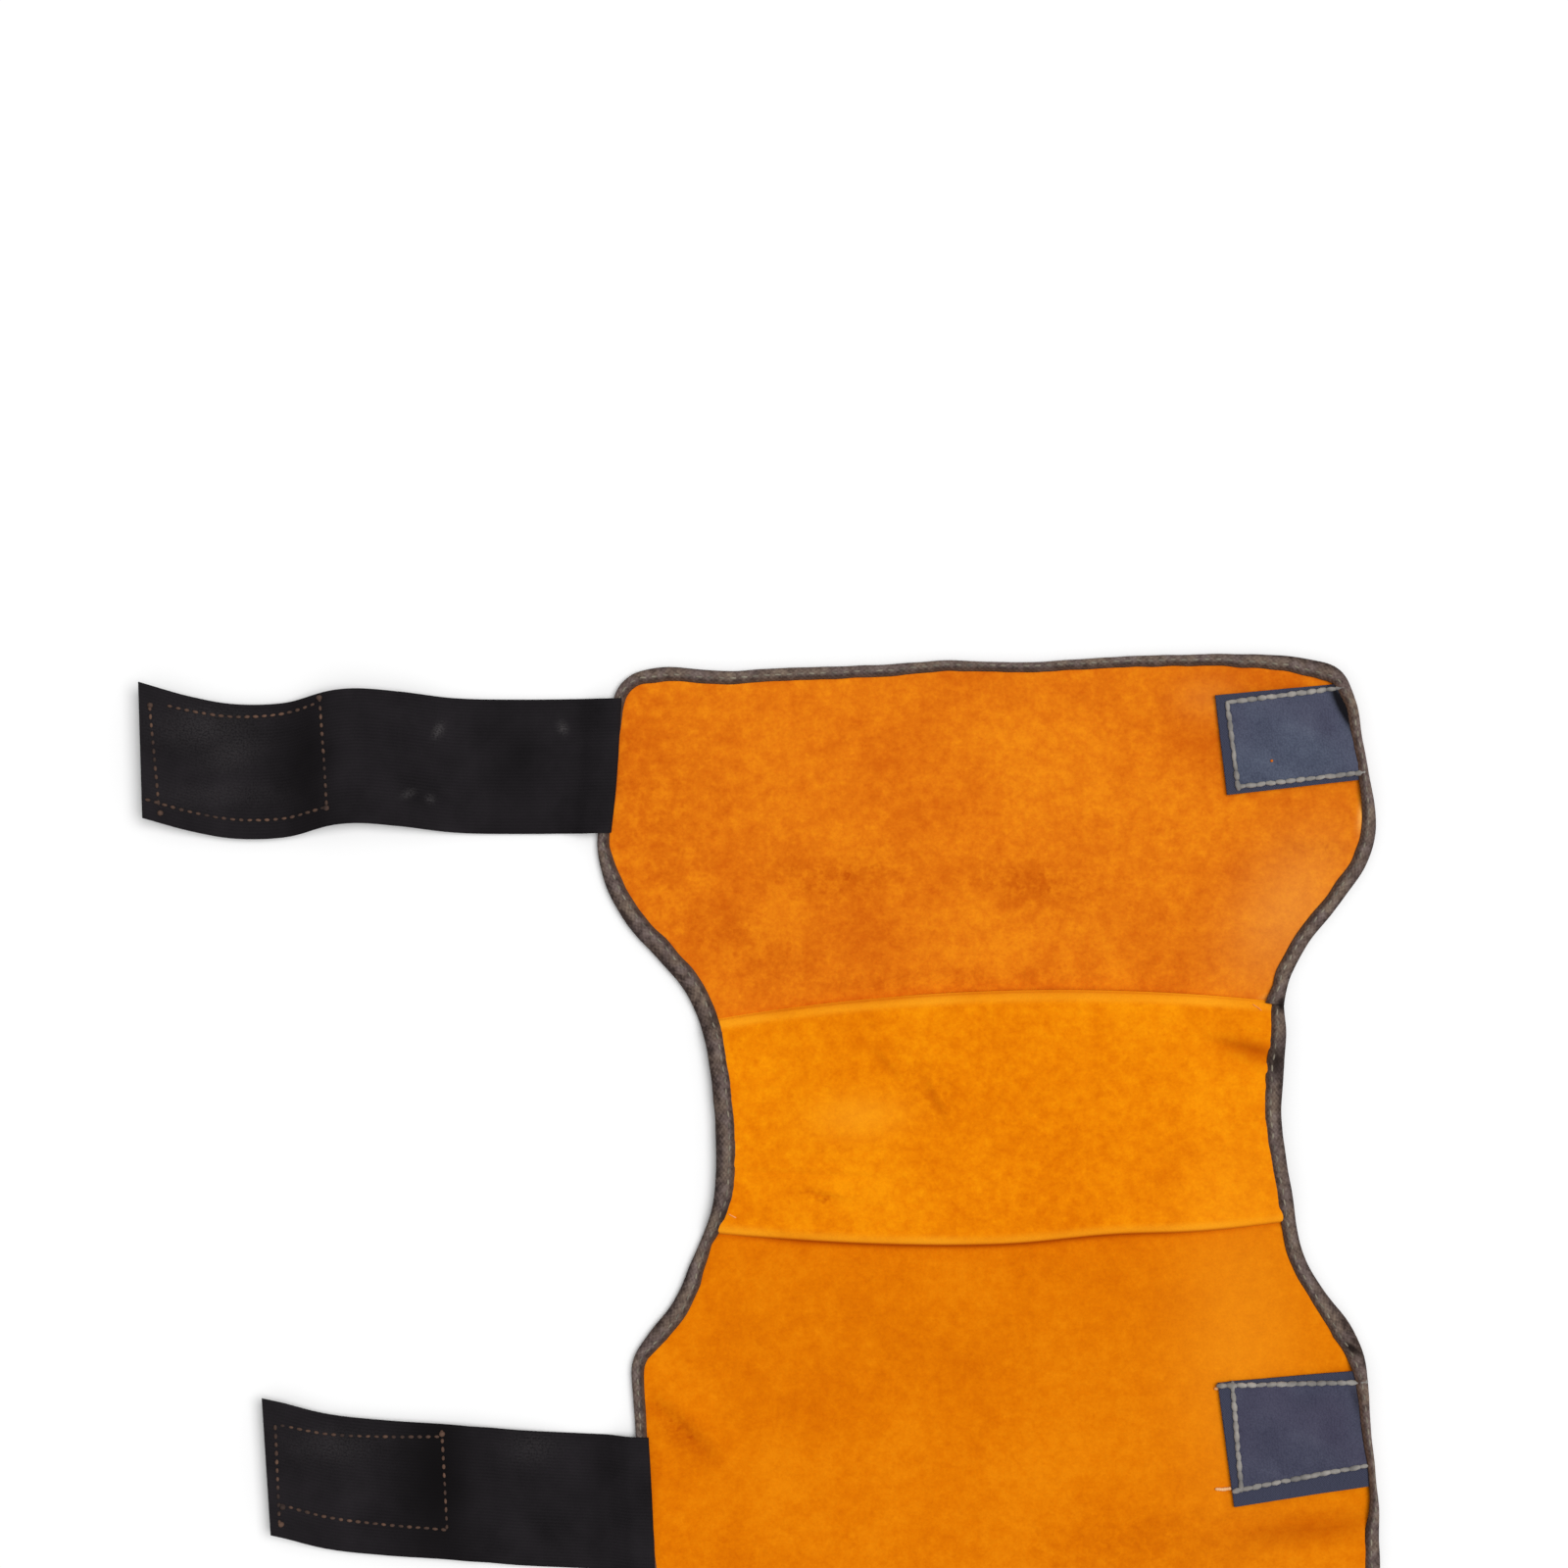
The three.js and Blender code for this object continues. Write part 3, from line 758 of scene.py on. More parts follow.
def roll_seam(points, seam, beyond, roll, tuck, ridge, lean, drawn):
    """Rolls a panel's edge into its seam. beyond is 1 if the seam is on the panel's +Y side, else -1.

    The edge rolls down by roll and goes past the seam by tuck. Just inside the roll stands a ridge, which
    leans over towards the seam by lean. At one place the stitching draws the seam up by drawn, towards +Y.
    """
    x = points[:, :, 0]
    distance = np.abs(points[:, :, 1] - np.interp(x, seam[:, 0], seam[:, 1]))
    near = np.clip(1 - distance / max(roll, tuck), 0, 1)
    uneven = RIDGE_SHARE + RIDGE_WANDER * wander(x, RIDGE_SIZE, seed=3.0)
    rolled = points.copy()
    rolled[:, :, 1] += beyond * tuck * near**2
    rolled[:, :, 1] += beyond * lean * bell(distance - LEAN_PLACE, LEAN_WIDTH)
    rolled[:, :, 1] += drawn * bell(x - DRAWN_PLACE, DRAWN_WIDTH) * bell(distance, DRAWN_FADE)
    rolled[:, :, 2] -= roll * (1 - np.sqrt(1 - near**2))
    rolled[:, :, 2] += ridge * uneven * bell(distance - RIDGE_PLACE, RIDGE_WIDTH)
    return rolled, distance


def seam_highlight(x, distance):
    """How far the hide beside a seam is painted paler, a painted highlight on its rolled edge, about 0 to
    1.
    """
    beside = bell(np.maximum(distance - PALE_PLACE, 0), PALE_FADE)
    return beside * (PALE_SHARE + PALE_WANDER * wander(x, PALE_SIZE, seed=7.0))


print("ridge from the seam in mm:", RIDGE_PLACE / MM, "drawn up at x in mm:", DRAWN_PLACE / MM)

# %% Lay a panel and roll its edges
LEATHER = 1.6 * MM
THINNEST = 0.15
COLUMN_CUTS = 8
# painted shade in a seam: its width, and its strength along the seam by x in mm
SEAM_SHADE_WIDTH = 1.3 * MM
SEAM_SHADE_ALONG = ((-10, 0.45), (15, 1.0), (125, 1.0), (187, 0.35))
SEAM_EDGES = {
    # edge: its row of the panel, +Y or -Y side, then in mm its roll, tuck, ridge, lean and how far it is
    # drawn up, then from 0 to 1 how pale it is, a painted highlight, and how much painted shade is in its
    # seam
    "knee_top": (-1, 1, 0.2, 0.35, 0.0, 0.0, 0.0, 0.85, 0.0),
    "knee_foot": (0, -1, 1.3, 0.35, 0.6, 1.0, 2.0, 0.97, 0.9),
    "thigh_foot": (0, -1, 0.1, 0.9, 0.0, 0.0, 0.0, 0.0, 0.3),
    "shin_top": (-1, 1, 0.3, 0.9, 0.0, 0.0, 2.0, 0.0, 1.0),
}


def panel(name, node, row_places, sewn_edges, hide, seed):
    """A suede panel on its CAD rows, with its sewn edges rolled into their seams."""
    rows = cad_rows[node]
    points = read_surface(rows, row_places, even_places(rows.shape[1], COLUMN_CUTS))
    from_seam = np.full(points.shape[:2], np.inf)
    x = points[:, :, 0]
    y = points[:, :, 1]
    paled = smudged(x, y, PALED)
    shaded = smudged(x, y, SHADES)
    for sewn in sewn_edges:
        row, beyond, *sizes, pale, seam_shade = SEAM_EDGES[sewn]
        points, distance = roll_seam(points, rows[row], beyond, *[size * MM for size in sizes])
        from_seam = np.minimum(from_seam, distance)
        # painted highlight beside the seam
        paled = np.maximum(paled, pale * seam_highlight(x, distance))
        # painted shade in the seam's crevice
        seam_shading = seam_shade * np.interp(x / MM, *zip(*SEAM_SHADE_ALONG))
        shaded = np.maximum(shaded, seam_shading * bell(distance, SEAM_SHADE_WIDTH))
    points[:, :, 2] += hide_lie(x, y, from_seam, seed)
    piece = lay_sheet(name, points, rubbed=smudged(x, y, RUBS), paled=paled, shaded=shaded)
    skive(piece, thicken(piece, LEATHER, -1))
    dress(piece, hides[hide], name, node)


def skive(piece, wall):
    """Thins a panel's wall where its edge rolls down, so that it stays above the floor."""
    skived = piece.vertex_groups.new(name="skived")
    for corner in piece.data.vertices:
        if corner.co.z < LEATHER:
            skived.add([corner.index], 1 - max(corner.co.z / LEATHER, THINNEST), "REPLACE")
    wall.vertex_group = skived.name
    wall.invert_vertex_group = True


print("sewn edges:", list(SEAM_EDGES))

# %% Cut the three panels
THIGH_CUTS = 8
THIGH_CROWD = 14
KNEE_CUTS = 10
SHIN_CUTS = 7
SHIN_CROWD = 16
CROWDING = 1.6
HIDE_SEEDS = {"thigh_suede": 1.0, "knee_suede": 2.0, "shin_suede": 3.0}


def crowded_start(count, cuts, crowd):
    """Even places, except that the first step has extra ones crowding to its start."""
    first = (np.arange(crowd) / crowd) ** CROWDING
    return np.concatenate([first, even_places(count, cuts)[cuts:]])


shin_last = len(cad_rows["shin_panel"]) - 1
PANELS = {
    # piece: its CAD sheet, the places of its rows, its sewn edges and its hide
    "thigh_suede": (
        "thigh_panel", crowded_start(len(cad_rows["thigh_panel"]), THIGH_CUTS, THIGH_CROWD),
        ["thigh_foot"], "thigh_hide",
    ),
    "knee_suede": (
        "knee_panel", even_places(len(cad_rows["knee_panel"]), KNEE_CUTS),
        ["knee_foot", "knee_top"], "knee_hide",
    ),
    "shin_suede": (
        "shin_panel", shin_last - crowded_start(shin_last + 1, SHIN_CUTS, SHIN_CROWD)[::-1],
        ["shin_top"], "shin_hide",
    ),
}
for name, row in PANELS.items():
    panel(name, *row, HIDE_SEEDS[name])

# %% [markdown]
# ## The binding
#
# A woven polyester tape, 15 mm wide, is folded over the raw edge and sewn through. A curve with a bevel
# could follow the edge, but its section couldn't change on the way. So it is made here as the maker
# sews it: one flat strip, long and narrow, whose rows are folded into a U and carried right round the
# cover from the upper seam on the right and back to it. It is never sewn on quite evenly, so a short
# table says how far it reaches over the hide at each place, and what it lacks above it has below. It
# swells where it covers the end of a loop patch.

# %% Where the tape runs
TAPE_STEP = 1.2 * MM
RUN_CUTS = 12
SMOOTHING = 5


def edge_line(*runs):
    """One smooth line of evenly spaced points through the given runs of edge points."""
    finer = [line_weights(len(run), even_places(len(run), RUN_CUTS)) @ run for run in runs]
    joined = np.concatenate(finer)
    whole = lengths_along(joined)[-1]
    line = points_at(joined, np.linspace(0, whole, round(whole / TAPE_STEP) + 1))
    padded = np.pad(line, ((SMOOTHING // 2,) * 2, (0, 0)), mode="reflect", reflect_type="odd")
    share = np.ones(SMOOTHING) / SMOOTHING
    return np.stack([np.convolve(padded[:, k], share, "valid") for k in range(3)], axis=1)


thigh_net = cad_rows["thigh_panel"]
knee_net = cad_rows["knee_panel"]
shin_net = cad_rows["shin_panel"]
edge = edge_line(
    knee_net[-2:, -1], thigh_net[:, -1], thigh_net[-1, ::-1], thigh_net[::-1, 0], knee_net[::-1, 0],
    shin_net[::-1, 0], shin_net[0], shin_net[:, -1], knee_net[:, -1],
)
edge_along = lengths_along(edge)
print("edge in mm:", round(edge_along[-1] / MM), "points:", len(edge))

# %% How far the tape reaches over the hide
COVERS = (
    # x and y of a place by the edge, and the tape's reach there, all in mm
    (192.6, 156.5, 7.2), (194.5, 162, 5.6), (205, 180, 5.7), (224, 213, 5.8), (224, 231, 5.0),
    (221, 246, 3.8), (217, 267, 4.4), (209, 278, 6.5), (169, 286, 4.3), (118, 284, 3.8), (87, 283, 3.5),
    (45, 281, 4.4), (8, 281, 4.6), (-28, 280, 5.0), (-40, 279, 5.3), (-50, 274, 4.3), (-55, 250, 4.1),
    (-60, 231, 3.9), (-60, 215, 4.5), (-57, 201, 6.4), (-50, 185, 7.0), (-35, 169, 7.2), (-22, 150, 7.0),
    (-17, 107, 7.3), (-20, 85, 6.8), (-26, 70, 4.2), (-34, 56, 6.2), (-43, 37, 6.5), (-47, 26, 4.8),
    (-47, 12, 4.3), (-45, -20, 3.9), (-43, -54, 5.2), (0, -286, 5.4), (180, -286, 5.4), (228, -120, 5.6),
    (230, -50, 5.6), (229, -39, 5.2), (228, -28, 3.4), (227, -18, 2.8), (226, 2, 3.9), (225, 18, 5.0),
    (224, 26, 6.3), (220, 37, 7.8), (209, 52, 5.7), (200, 74, 5.6), (195, 100, 5.9), (194, 132, 6.9),
    (194, 150, 4.8),
)
COVER_WANDER = 0.35 * MM
COVER_SIZE = 8 * MM


def nearest(points, x, y):
    """Which of some points is nearest to a place in plan, given in mm."""
    return np.hypot(points[..., 0] - x * MM, points[..., 1] - y * MM).argmin()


places = [nearest(edge, x, y) for x, y, cover in COVERS]
places[0] = 0
places[-1] = len(edge) - 1
reach = np.interp(np.arange(len(edge)), places, [cover * MM for x, y, cover in COVERS])
reach += COVER_WANDER * wander(edge_along, COVER_SIZE, seed=4.0)
print("places run on in order:", places == sorted(places))
print("tape's reach in mm, least and most:", round(reach.min() / MM, 1), round(reach.max() / MM, 1))

# %% Where a loop patch raises the tape
PATCH_SWELL = 1.7 * MM
PATCH_FADE = 8 * MM
PATCH_SIDE = 25 * MM


def over_patch():
    """How far the tape is raised by the loop patch under it, for each point of the edge."""
    raised = np.zeros(len(edge))
    for node in ("upper_loop_patch", "lower_loop_patch"):
        low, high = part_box(node)
        into = np.minimum(edge[:, 1] - low.y, high.y - edge[:, 1]) / PATCH_FADE + 1
        beside = edge[:, 0] > high.x - PATCH_SIDE
        raised = np.maximum(raised, np.where(beside, np.clip(into, 0, 1), 0))
    return PATCH_SWELL * raised * raised * (3 - 2 * raised)


print("edge points over a patch:", int((over_patch() > 0).sum()))

# %% How the tape folds
TAPE = 0.6 * MM
TAPE_WIDTH = 15 * MM
TAPE_CROWN = 0.3 * MM
FOLD_RADIUS = 1.5 * MM
FOLD_INSIDE = 0.25 * MM
QUARTER_TURN = FOLD_RADIUS * math.pi / 2
LEAST_LEG = 0.3 * MM
NOSE_WANDER = 0.3 * MM
NOSE_SIZE = 11 * MM
STITCH_INSET = 2.2 * MM
STITCH_GROOVE = 0.25 * MM
STITCH_GROOVE_WIDTH = 0.6 * MM
SLUB = 0.07 * MM
SLUB_SIZE = 1.6 * MM
EDGE_PRESS = 0.45 * MM
EDGE_PRESS_WIDTH = 1.1 * MM
LAPPED_LIFT = 0.65 * MM
LAP_FADE = 9 * MM


def inward():
    """The level direction into the cover, which is on the left of an edge that runs anticlockwise."""
    run = np.gradient(edge, axis=0)
    side = np.stack([-run[:, 1], run[:, 0], np.zeros(len(run))], axis=1)
    return side / np.linalg.norm(side, axis=1)[:, None]


def folded(across):
    """Points of the folded tape: a row for each place across the flat tape, from its lower edge up."""
    into = inward()
    upper_leg = np.maximum(reach - FOLD_RADIUS - TAPE / 2, LEAST_LEG)
    nose = TAPE_WIDTH - upper_leg - QUARTER_TURN
    nose_wander = NOSE_WANDER * wander(edge_along, NOSE_SIZE, seed=6.0)
    upper_rise = FOLD_RADIUS + over_patch() + LAPPED_LIFT * bell(edge_along, LAP_FADE)
    rows = []
    for place in across:
        arc = place - nose
        turn = np.minimum(np.abs(arc), QUARTER_TURN) / FOLD_RADIUS
        leg = np.maximum(np.abs(arc) - QUARTER_TURN, 0)
        from_edge = TAPE_WIDTH - place
        crown = TAPE_CROWN * np.sin(math.pi * np.clip(leg / upper_leg, 0, 1))
        groove = STITCH_GROOVE * bell(from_edge - STITCH_INSET, STITCH_GROOVE_WIDTH)
        press = EDGE_PRESS * bell(from_edge, EDGE_PRESS_WIDTH)
        slub = SLUB * unevenness(edge_along, 0 * edge_along + place, SLUB_SIZE, seed=8.0)
        row = edge + into * (FOLD_INSIDE - FOLD_RADIUS * np.cos(turn) + leg + nose_wander)[:, None]
        upper_lift = upper_rise * np.sin(turn) + crown - groove - press + slub
        row[:, 2] += np.where(arc > 0, upper_lift, -FOLD_RADIUS * np.sin(turn)) - LEATHER / 2
        rows.append(row)
    return np.array(rows)


print("tape width in mm:", TAPE_WIDTH / MM)

# %% Woven binding cloth
binding_cloth, tree, shader = new_finish("binding_cloth")
tape_cut = flat_place(tree)
threads = use_group(tree, weave, Vector=tape_cut, Along_Pitch=2.1 * MM, Across_Pitch=1.5 * MM)
tape_across = put(tree, "ShaderNodeSeparateXYZ", Vector=tape_cut).outputs["Y"]
from_edge = sums(tree, "SUBTRACT", TAPE_WIDTH, tape_across)
# a lighter band 2 to 3 mm in from the inner edge: a painted highlight, which leaves the fold and edge
# darker
past_edge = fade(tree, from_edge, 0.9 * MM, 2.2 * MM)
before_fold = fade(tree, from_edge, 6.0 * MM, 3.2 * MM)
middle = sums(tree, "MULTIPLY", past_edge, before_fold)
fleck = cloud(tree, tape_cut, 380.0, 2.0)
lit = weighed(
    tree, (middle, 0.32), (threads["Thread"], 0.14), (fleck, 1.0), (threads["Fuzz"], 0.4), start=-0.7
)
warm = ramp(tree, lit, (0.0, (58, 46, 42)), (0.35, (106, 90, 80)), (0.8, (146, 130, 112)))
cool = ramp(tree, lit, (0.0, (54, 44, 42)), (0.35, (98, 83, 79)), (0.8, (134, 120, 114)))
tone = mix(tree, fade(tree, cloud(tree, tape_cut, 95.0, 2.0), 0.42, 0.58), warm, cool)
# painted shade: the tape's inner edge, its selvedge, darker brown where it meets the hide
tone = mix(tree, fade(tree, from_edge, 1.6 * MM, 0.4 * MM, high=0.6), tone, (92, 66, 50))
# painted shade where the tape is pinched or lapped
tone = mix(tree, marked(tree, "kinked"), tone, (34, 25, 23))
set_inputs(tree, shader, Base_Color=tone, Roughness=0.85, Specular_IOR_Level=0.12)
bump(tree, shader, weighed(tree, (threads["Fuzz"], 0.5), start=threads["Thread"]), 0.22 * MM)
print("binding_cloth nodes:", len(tree.nodes))

# %% Fold the tape round the edge
FOLDS_ACROSS = 30
KINK_SHADES = (
    # smudges of painted shade where the tape is pinched or lapped
    (193.5, 155.9, 80, 2.4, 2.4, 1.4),
    (191.0, 135.0, 88, 7.0, 2.8, 0.95),
    (-18.2, 150.5, 75, 4.0, 2.5, 0.6),
    (-13.6, 79.0, 65, 5.0, 2.0, 0.65),
    (219.3, 28.5, -38, 3.8, 1.5, 1.3),
    (224.6, -38.0, 88, 9.0, 1.2, 0.7),
    (221.0, 40.5, -50, 4.0, 1.4, 0.5),
)

tape_places = np.linspace(0, TAPE_WIDTH, FOLDS_ACROSS + 1)
tape_points = folded(tape_places)
tape_kink_shading = smudged(tape_points[:, :, 0], tape_points[:, :, 1], KINK_SHADES)
edge_tape = lay_sheet("edge_tape", tape_points, flat_net(edge_along, tape_places), kinked=tape_kink_shading)
thicken(edge_tape, TAPE, 0)
dress(edge_tape, binding_cloth, "binding_tape",
      "thigh_binding", "shin_binding", "knee_binding_left", "knee_binding_right")
print("edge_tape faces:", len(edge_tape.data.polygons))

# %% [markdown]
# ## The straps
#
# Each strap is 50 mm woven elastic. Fine ribs run along it where the rubber threads lie, and its free
# end bends and lifts a little. The inner end is folded over the binding and ends in a neat turned edge.
# A bent box could stand for it, but its pattern would slide over the bends. So the strap is a sheet on
# the CAD rows, with its UV map in metres along and across, and the ribs follow every bend. Painted
# shade darkens it where it bends away from the light, painted light brightens its raised parts, and lint
# and a little dust show on the black.

# %% Black ribbed elastic
elastic, tree, shader = new_finish("black_elastic")
strap_cut = flat_place(tree)
threads = use_group(tree, weave, Vector=strap_cut, Along_Pitch=1.0 * MM, Across_Pitch=1.2 * MM)
lint = put(tree, "ShaderNodeTexVoronoi", Vector=strap_cut, Scale=36.0).outputs["Distance"]
faded = cloud(tree, strap_cut, 45.0)
lit = weighed(tree, (faded, 0.7), (threads["Rib"], 0.08), (threads["Fuzz"], 0.3))
tone = ramp(tree, lit, (0.35, (22, 20, 22)), (0.75, (37, 34, 37)))
dust = sums(tree, "MULTIPLY", marked(tree, "dusty"), fade(tree, threads["Fuzz"], 0.35, 0.6))
pale = sums(tree, "MAXIMUM", dust, fade(tree, lint, 0.03, 0.015, high=0.45))
# pale dust and lint, and painted light on the strap's raised parts
tone = mix(tree, pale, tone, (110, 106, 106))
# painted shade where the strap bends away from the light
tone = mix(tree, marked(tree, "bent"), tone, (12, 10, 11))
set_inputs(tree, shader, Base_Color=tone, Roughness=0.9, Specular_IOR_Level=0.06)
woven = weighed(tree, (threads["Rib"], 0.4), (threads["Thread"], 0.3), (threads["Fuzz"], 0.5))
bump(tree, shader, woven, 0.12 * MM)
print("black_elastic nodes:", len(tree.nodes))

# %% Lay the two straps
STRAP = 1.5 * MM
STRAP_WIDTH = 50 * MM
STRAP_CUTS = (12, 8)
STRAP_ROUNDING = 0.45 * MM
TURNED_END = 2.2 * MM
TURNED_DROP = 1.6 * MM
LEVELS = ("upper", "lower")
DUST_AND_LIGHT = (
    # smudges of pale dust; the broad faint ones are painted light on the raised parts of a strap
    (-120.0, 258.0, 60, 2.6, 1.6, 0.3),
    (-74.0, 259.0, -60, 2.2, 1.6, 0.28),
    (-131.0, 234.5, 20, 2.6, 1.3, 0.22),
    (-123.0, 232.6, -30, 1.6, 1.3, 0.2),
    (-207.0, 259.0, 0, 18.0, 8.0, 0.10),
    (-197.0, 250.0, 20, 12.0, 7.0, 0.09),
    (-201.0, 234.0, 0, 22.0, 5.0, 0.06),
    (-159.0, -8.0, 0, 16.0, 6.0, 0.08),
    (-85.0, -8.0, 0, 9.0, 6.0, 0.08),
)
BEND_SHADES = (
    # smudges of painted shade across a strap at its bends
    (-168.6, 240.0, 90, 32.0, 10.0, 0.66),
    (-92.0, 246.0, 90, 36.0, 11.0, 0.25),
    (-120.5, -20.0, 90, 45.0, 14.0, 0.86),
    (-60.0, -22.0, 90, 36.0, 4.5, 0.3),
)


def strap(name, node):
    """An elastic strap on its CAD rows, with its inner end turned down."""
    points = cloth_points(node, *STRAP_CUTS)
    along = middle_lengths(points)[0]
    across = np.linspace(-STRAP_WIDTH / 2, STRAP_WIDTH / 2, len(points))
    near = np.clip(1 - (along[-1] - along) / TURNED_END, 0, 1)
    points[:, :, 2] -= TURNED_DROP * (1 - np.sqrt(1 - near**2))
    dusty = smudged(points[:, :, 0], points[:, :, 1], DUST_AND_LIGHT)
    bent = smudged(points[:, :, 0], points[:, :, 1], BEND_SHADES)
    piece = lay_sheet(name, points, flat_net(along, across), dusty=dusty, bent=bent)
    thicken(piece, STRAP, -1)
    soften_edges(piece, STRAP_ROUNDING)
    dress(piece, elastic, "elastic", node)
    print(name, "length in mm:", round(along[-1] / MM, 1))


for level in LEVELS:
    strap(f"{level}_elastic", f"{level}_strap")

# %% [markdown]
# ## Hook tape under the straps
#
# The box of stitches near each free end holds a piece of hook tape on the strap's underside, where it
# can grip the loop patch across the leg. It is a stiff black tape with rows of tiny nylon hooks. The
# hooks are far too small to model, so their rows are a height in the material.

# %% Stiff black hook cloth
hook_cloth, tree, shader = new_finish("hook_cloth")
threads = use_group(tree, weave, Vector=flat_place(tree), Along_Pitch=1.6 * MM, Across_Pitch=1.6 * MM)
tone = ramp(tree, threads["Thread"], (0.2, (22, 22, 24)), (0.9, (52, 52, 56)))
tone = mix(tree, sums(tree, "MULTIPLY", threads["Fuzz"], 0.4), tone, (30, 30, 33))
dullness = weighed(tree, (threads["Thread"], -0.2), start=0.65)
set_inputs(tree, shader, Base_Color=tone, Roughness=dullness, Specular_IOR_Level=0.3)
bump(tree, shader, threads["Thread"], 0.6 * MM)
print("hook_cloth nodes:", len(tree.nodes))

# %% Lay the hook tape
HOOK = 1.5 * MM
HOOK_CUTS = 6
HOOK_ROUNDING = 0.3 * MM


def hook_patch(name, node):
    """A piece of hook tape on its CAD rows."""
    points = cloth_points(node, HOOK_CUTS, HOOK_CUTS)
    along, across = middle_lengths(points)
    piece = lay_sheet(name, points, flat_net(along, across))
    thicken(piece, HOOK, -1)
    soften_edges(piece, HOOK_ROUNDING)
    dress(piece, hook_cloth, "hook_tape", node)
    print(name, "size in mm:", round(along[-1] / MM, 1), round(across[-1] / MM, 1))


for level in LEVELS:
    hook_patch(f"{level}_hooks", f"{level}_hook_patch")

# %% [markdown]
# ## Loop patches
#
# The straps grip two patches of slate-blue loop tape. The middle is a felt of fine nylon loops, and
# round it runs a flat woven border, darker because it has no loops to catch the light. Hair could stand
# for the loops, but at this size a raised field with a fine bump looks the same and is much lighter.
# The stitching pulls the tape down in a shallow groove between the field and the border.

# %% Loop tape in two shades
LOOP_SHADES = {
    # patch: the dark, middle and light colours of its pile
    "upper": ((65, 70, 88), (80, 86, 104), (94, 101, 118)),
    "lower": ((58, 59, 77), (70, 71, 89), (82, 84, 101)),
}


def loop_tape(name, dark, middle, light):
    """Loop tape: a matted pile of fine curls in the field, and a flat woven border."""
    material, tree, shader = new_finish(name)
    loop_cut = flat_place(tree)
    threads = use_group(tree, weave, Vector=loop_cut, Along_Pitch=0.9 * MM, Across_Pitch=0.9 * MM)
    curls = put(tree, "ShaderNodeTexVoronoi", Vector=loop_cut, Scale=1300.0).outputs["Distance"]
    matted = cloud(tree, loop_cut, 70.0)
    lit = weighed(tree, (matted, 0.9), (curls, -0.3), (threads["Fuzz"], 0.3))
    pile = ramp(tree, lit, (0.2, dark), (0.47, middle), (0.75, light))
    tinge = fade(tree, cloud(tree, loop_cut, 28.0, 1.0), 0.4, 0.6, high=0.35)
    pile = mix(tree, tinge, pile, (72, 66, 86))
    border = ramp(tree, threads["Thread"], (0.1, (52, 53, 70)), (0.9, (70, 73, 91)))
    tone = mix(tree, marked(tree, "field"), border, pile)
    tone = mix(tree, marked(tree, "shadowed"), tone, (18, 17, 22))
    set_inputs(tree, shader, Base_Color=tone, Roughness=0.9, Specular_IOR_Level=0.08, Sheen_Weight=0.06)
    bump(tree, shader, weighed(tree, (threads["Fuzz"], 0.6), start=curls), 0.3 * MM)
    return material


loop_cloths = {level: loop_tape(f"{level}_loop_cloth", *LOOP_SHADES[level]) for level in LEVELS}
print("loop tapes:", [cloth.name for cloth in loop_cloths.values()])

# %% Where the patches are sewn
SEWN = {
    # patch: its upper, left and lower line of stitches, each from one place to another, in shares of the
    # patch's length and width
    "upper": (
        ((0.083, 0.92), (1.0, 0.96)),
        ((0.083, 0.93), (0.085, 0.07)),
        ((0.07, 0.07), (1.0, 0.07)),
    ),
    "lower": (
        ((-0.01, 0.98), (1.0, 0.90)),
        ((0.10, 1.0), (0.066, 0.12)),
        ((0.0, 0.125), (1.0, 0.18)),
    ),
}


def inside_sewing(level, along, across):
    """How far each point is inside the three lines of stitches, as a share of the patch."""
    top, left, foot = SEWN[level]
    left_top, left_foot = left
    below_top = np.interp(along, *zip(*top)) - across
    above_foot = across - np.interp(along, *zip(*foot))
    past_left = along - np.interp(across, (left_foot[1], left_top[1]), (left_foot[0], left_top[0]))
    return np.minimum(past_left, np.minimum(below_top, above_foot))


for level in LEVELS:
    print(level, "patch, share inside at its middle:", round(float(inside_sewing(level, 0.5, 0.5)), 2))

# %% Lay the two patches
LOOP = 1.2 * MM
LOOP_CUTS = 14
PILE_RISE = 0.35 * MM
PILE_FUZZ = 0.1 * MM
PILE_FUZZ_SIZE = 1.1 * MM
FIELD_FADE = 1.2 * MM
SEWN_GROOVE = 0.3 * MM
SEWN_GROOVE_WIDTH = 0.8 * MM
LIES_ON = {"upper": "thigh_suede", "lower": "shin_suede"}
PATCH_SHADOWS = (
    # smudges of dark beside the binding
    (216.2, 266.0, -62, 10, 1.9, 1.7),
    (221.0, 9.0, -74, 8, 1.6, 0.5),
)


def loop_patch(level, node):
    """A patch of loop tape lying on the hide, with its pile raised inside the stitches' groove."""
    points = cloth_points(node, LOOP_CUTS, LOOP_CUTS)
    x = points[:, :, 0]
    y = points[:, :, 1]
    along, across = middle_lengths(points)
    shares = np.meshgrid(along / along[-1], across / across[-1])
    inside = inside_sewing(level, *shares) * across[-1]
    in_field = np.clip(inside / FIELD_FADE + 0.5, 0, 1)
    pile = in_field * (PILE_RISE + PILE_FUZZ * unevenness(x, y, PILE_FUZZ_SIZE, seed=5.0))
    hide_swell = hide_lie(x, y, np.full_like(x, SETTLE), HIDE_SEEDS[LIES_ON[level]])
    points[:, :, 2] += hide_swell + pile - SEWN_GROOVE * bell(inside, SEWN_GROOVE_WIDTH)
    shadowed = smudged(x, y, PATCH_SHADOWS)
    piece = lay_sheet(f"{level}_loops", points, flat_net(along, across), field=in_field, shadowed=shadowed)
    thicken(piece, LOOP, -1)
    dress(piece, loop_cloths[level], "loop_tape", node)
    print(piece.name, "size in mm:", round(along[-1] / MM, 1), round(across[-1] / MM, 1))


for level in LEVELS:
    loop_patch(level, f"{level}_loop_patch")

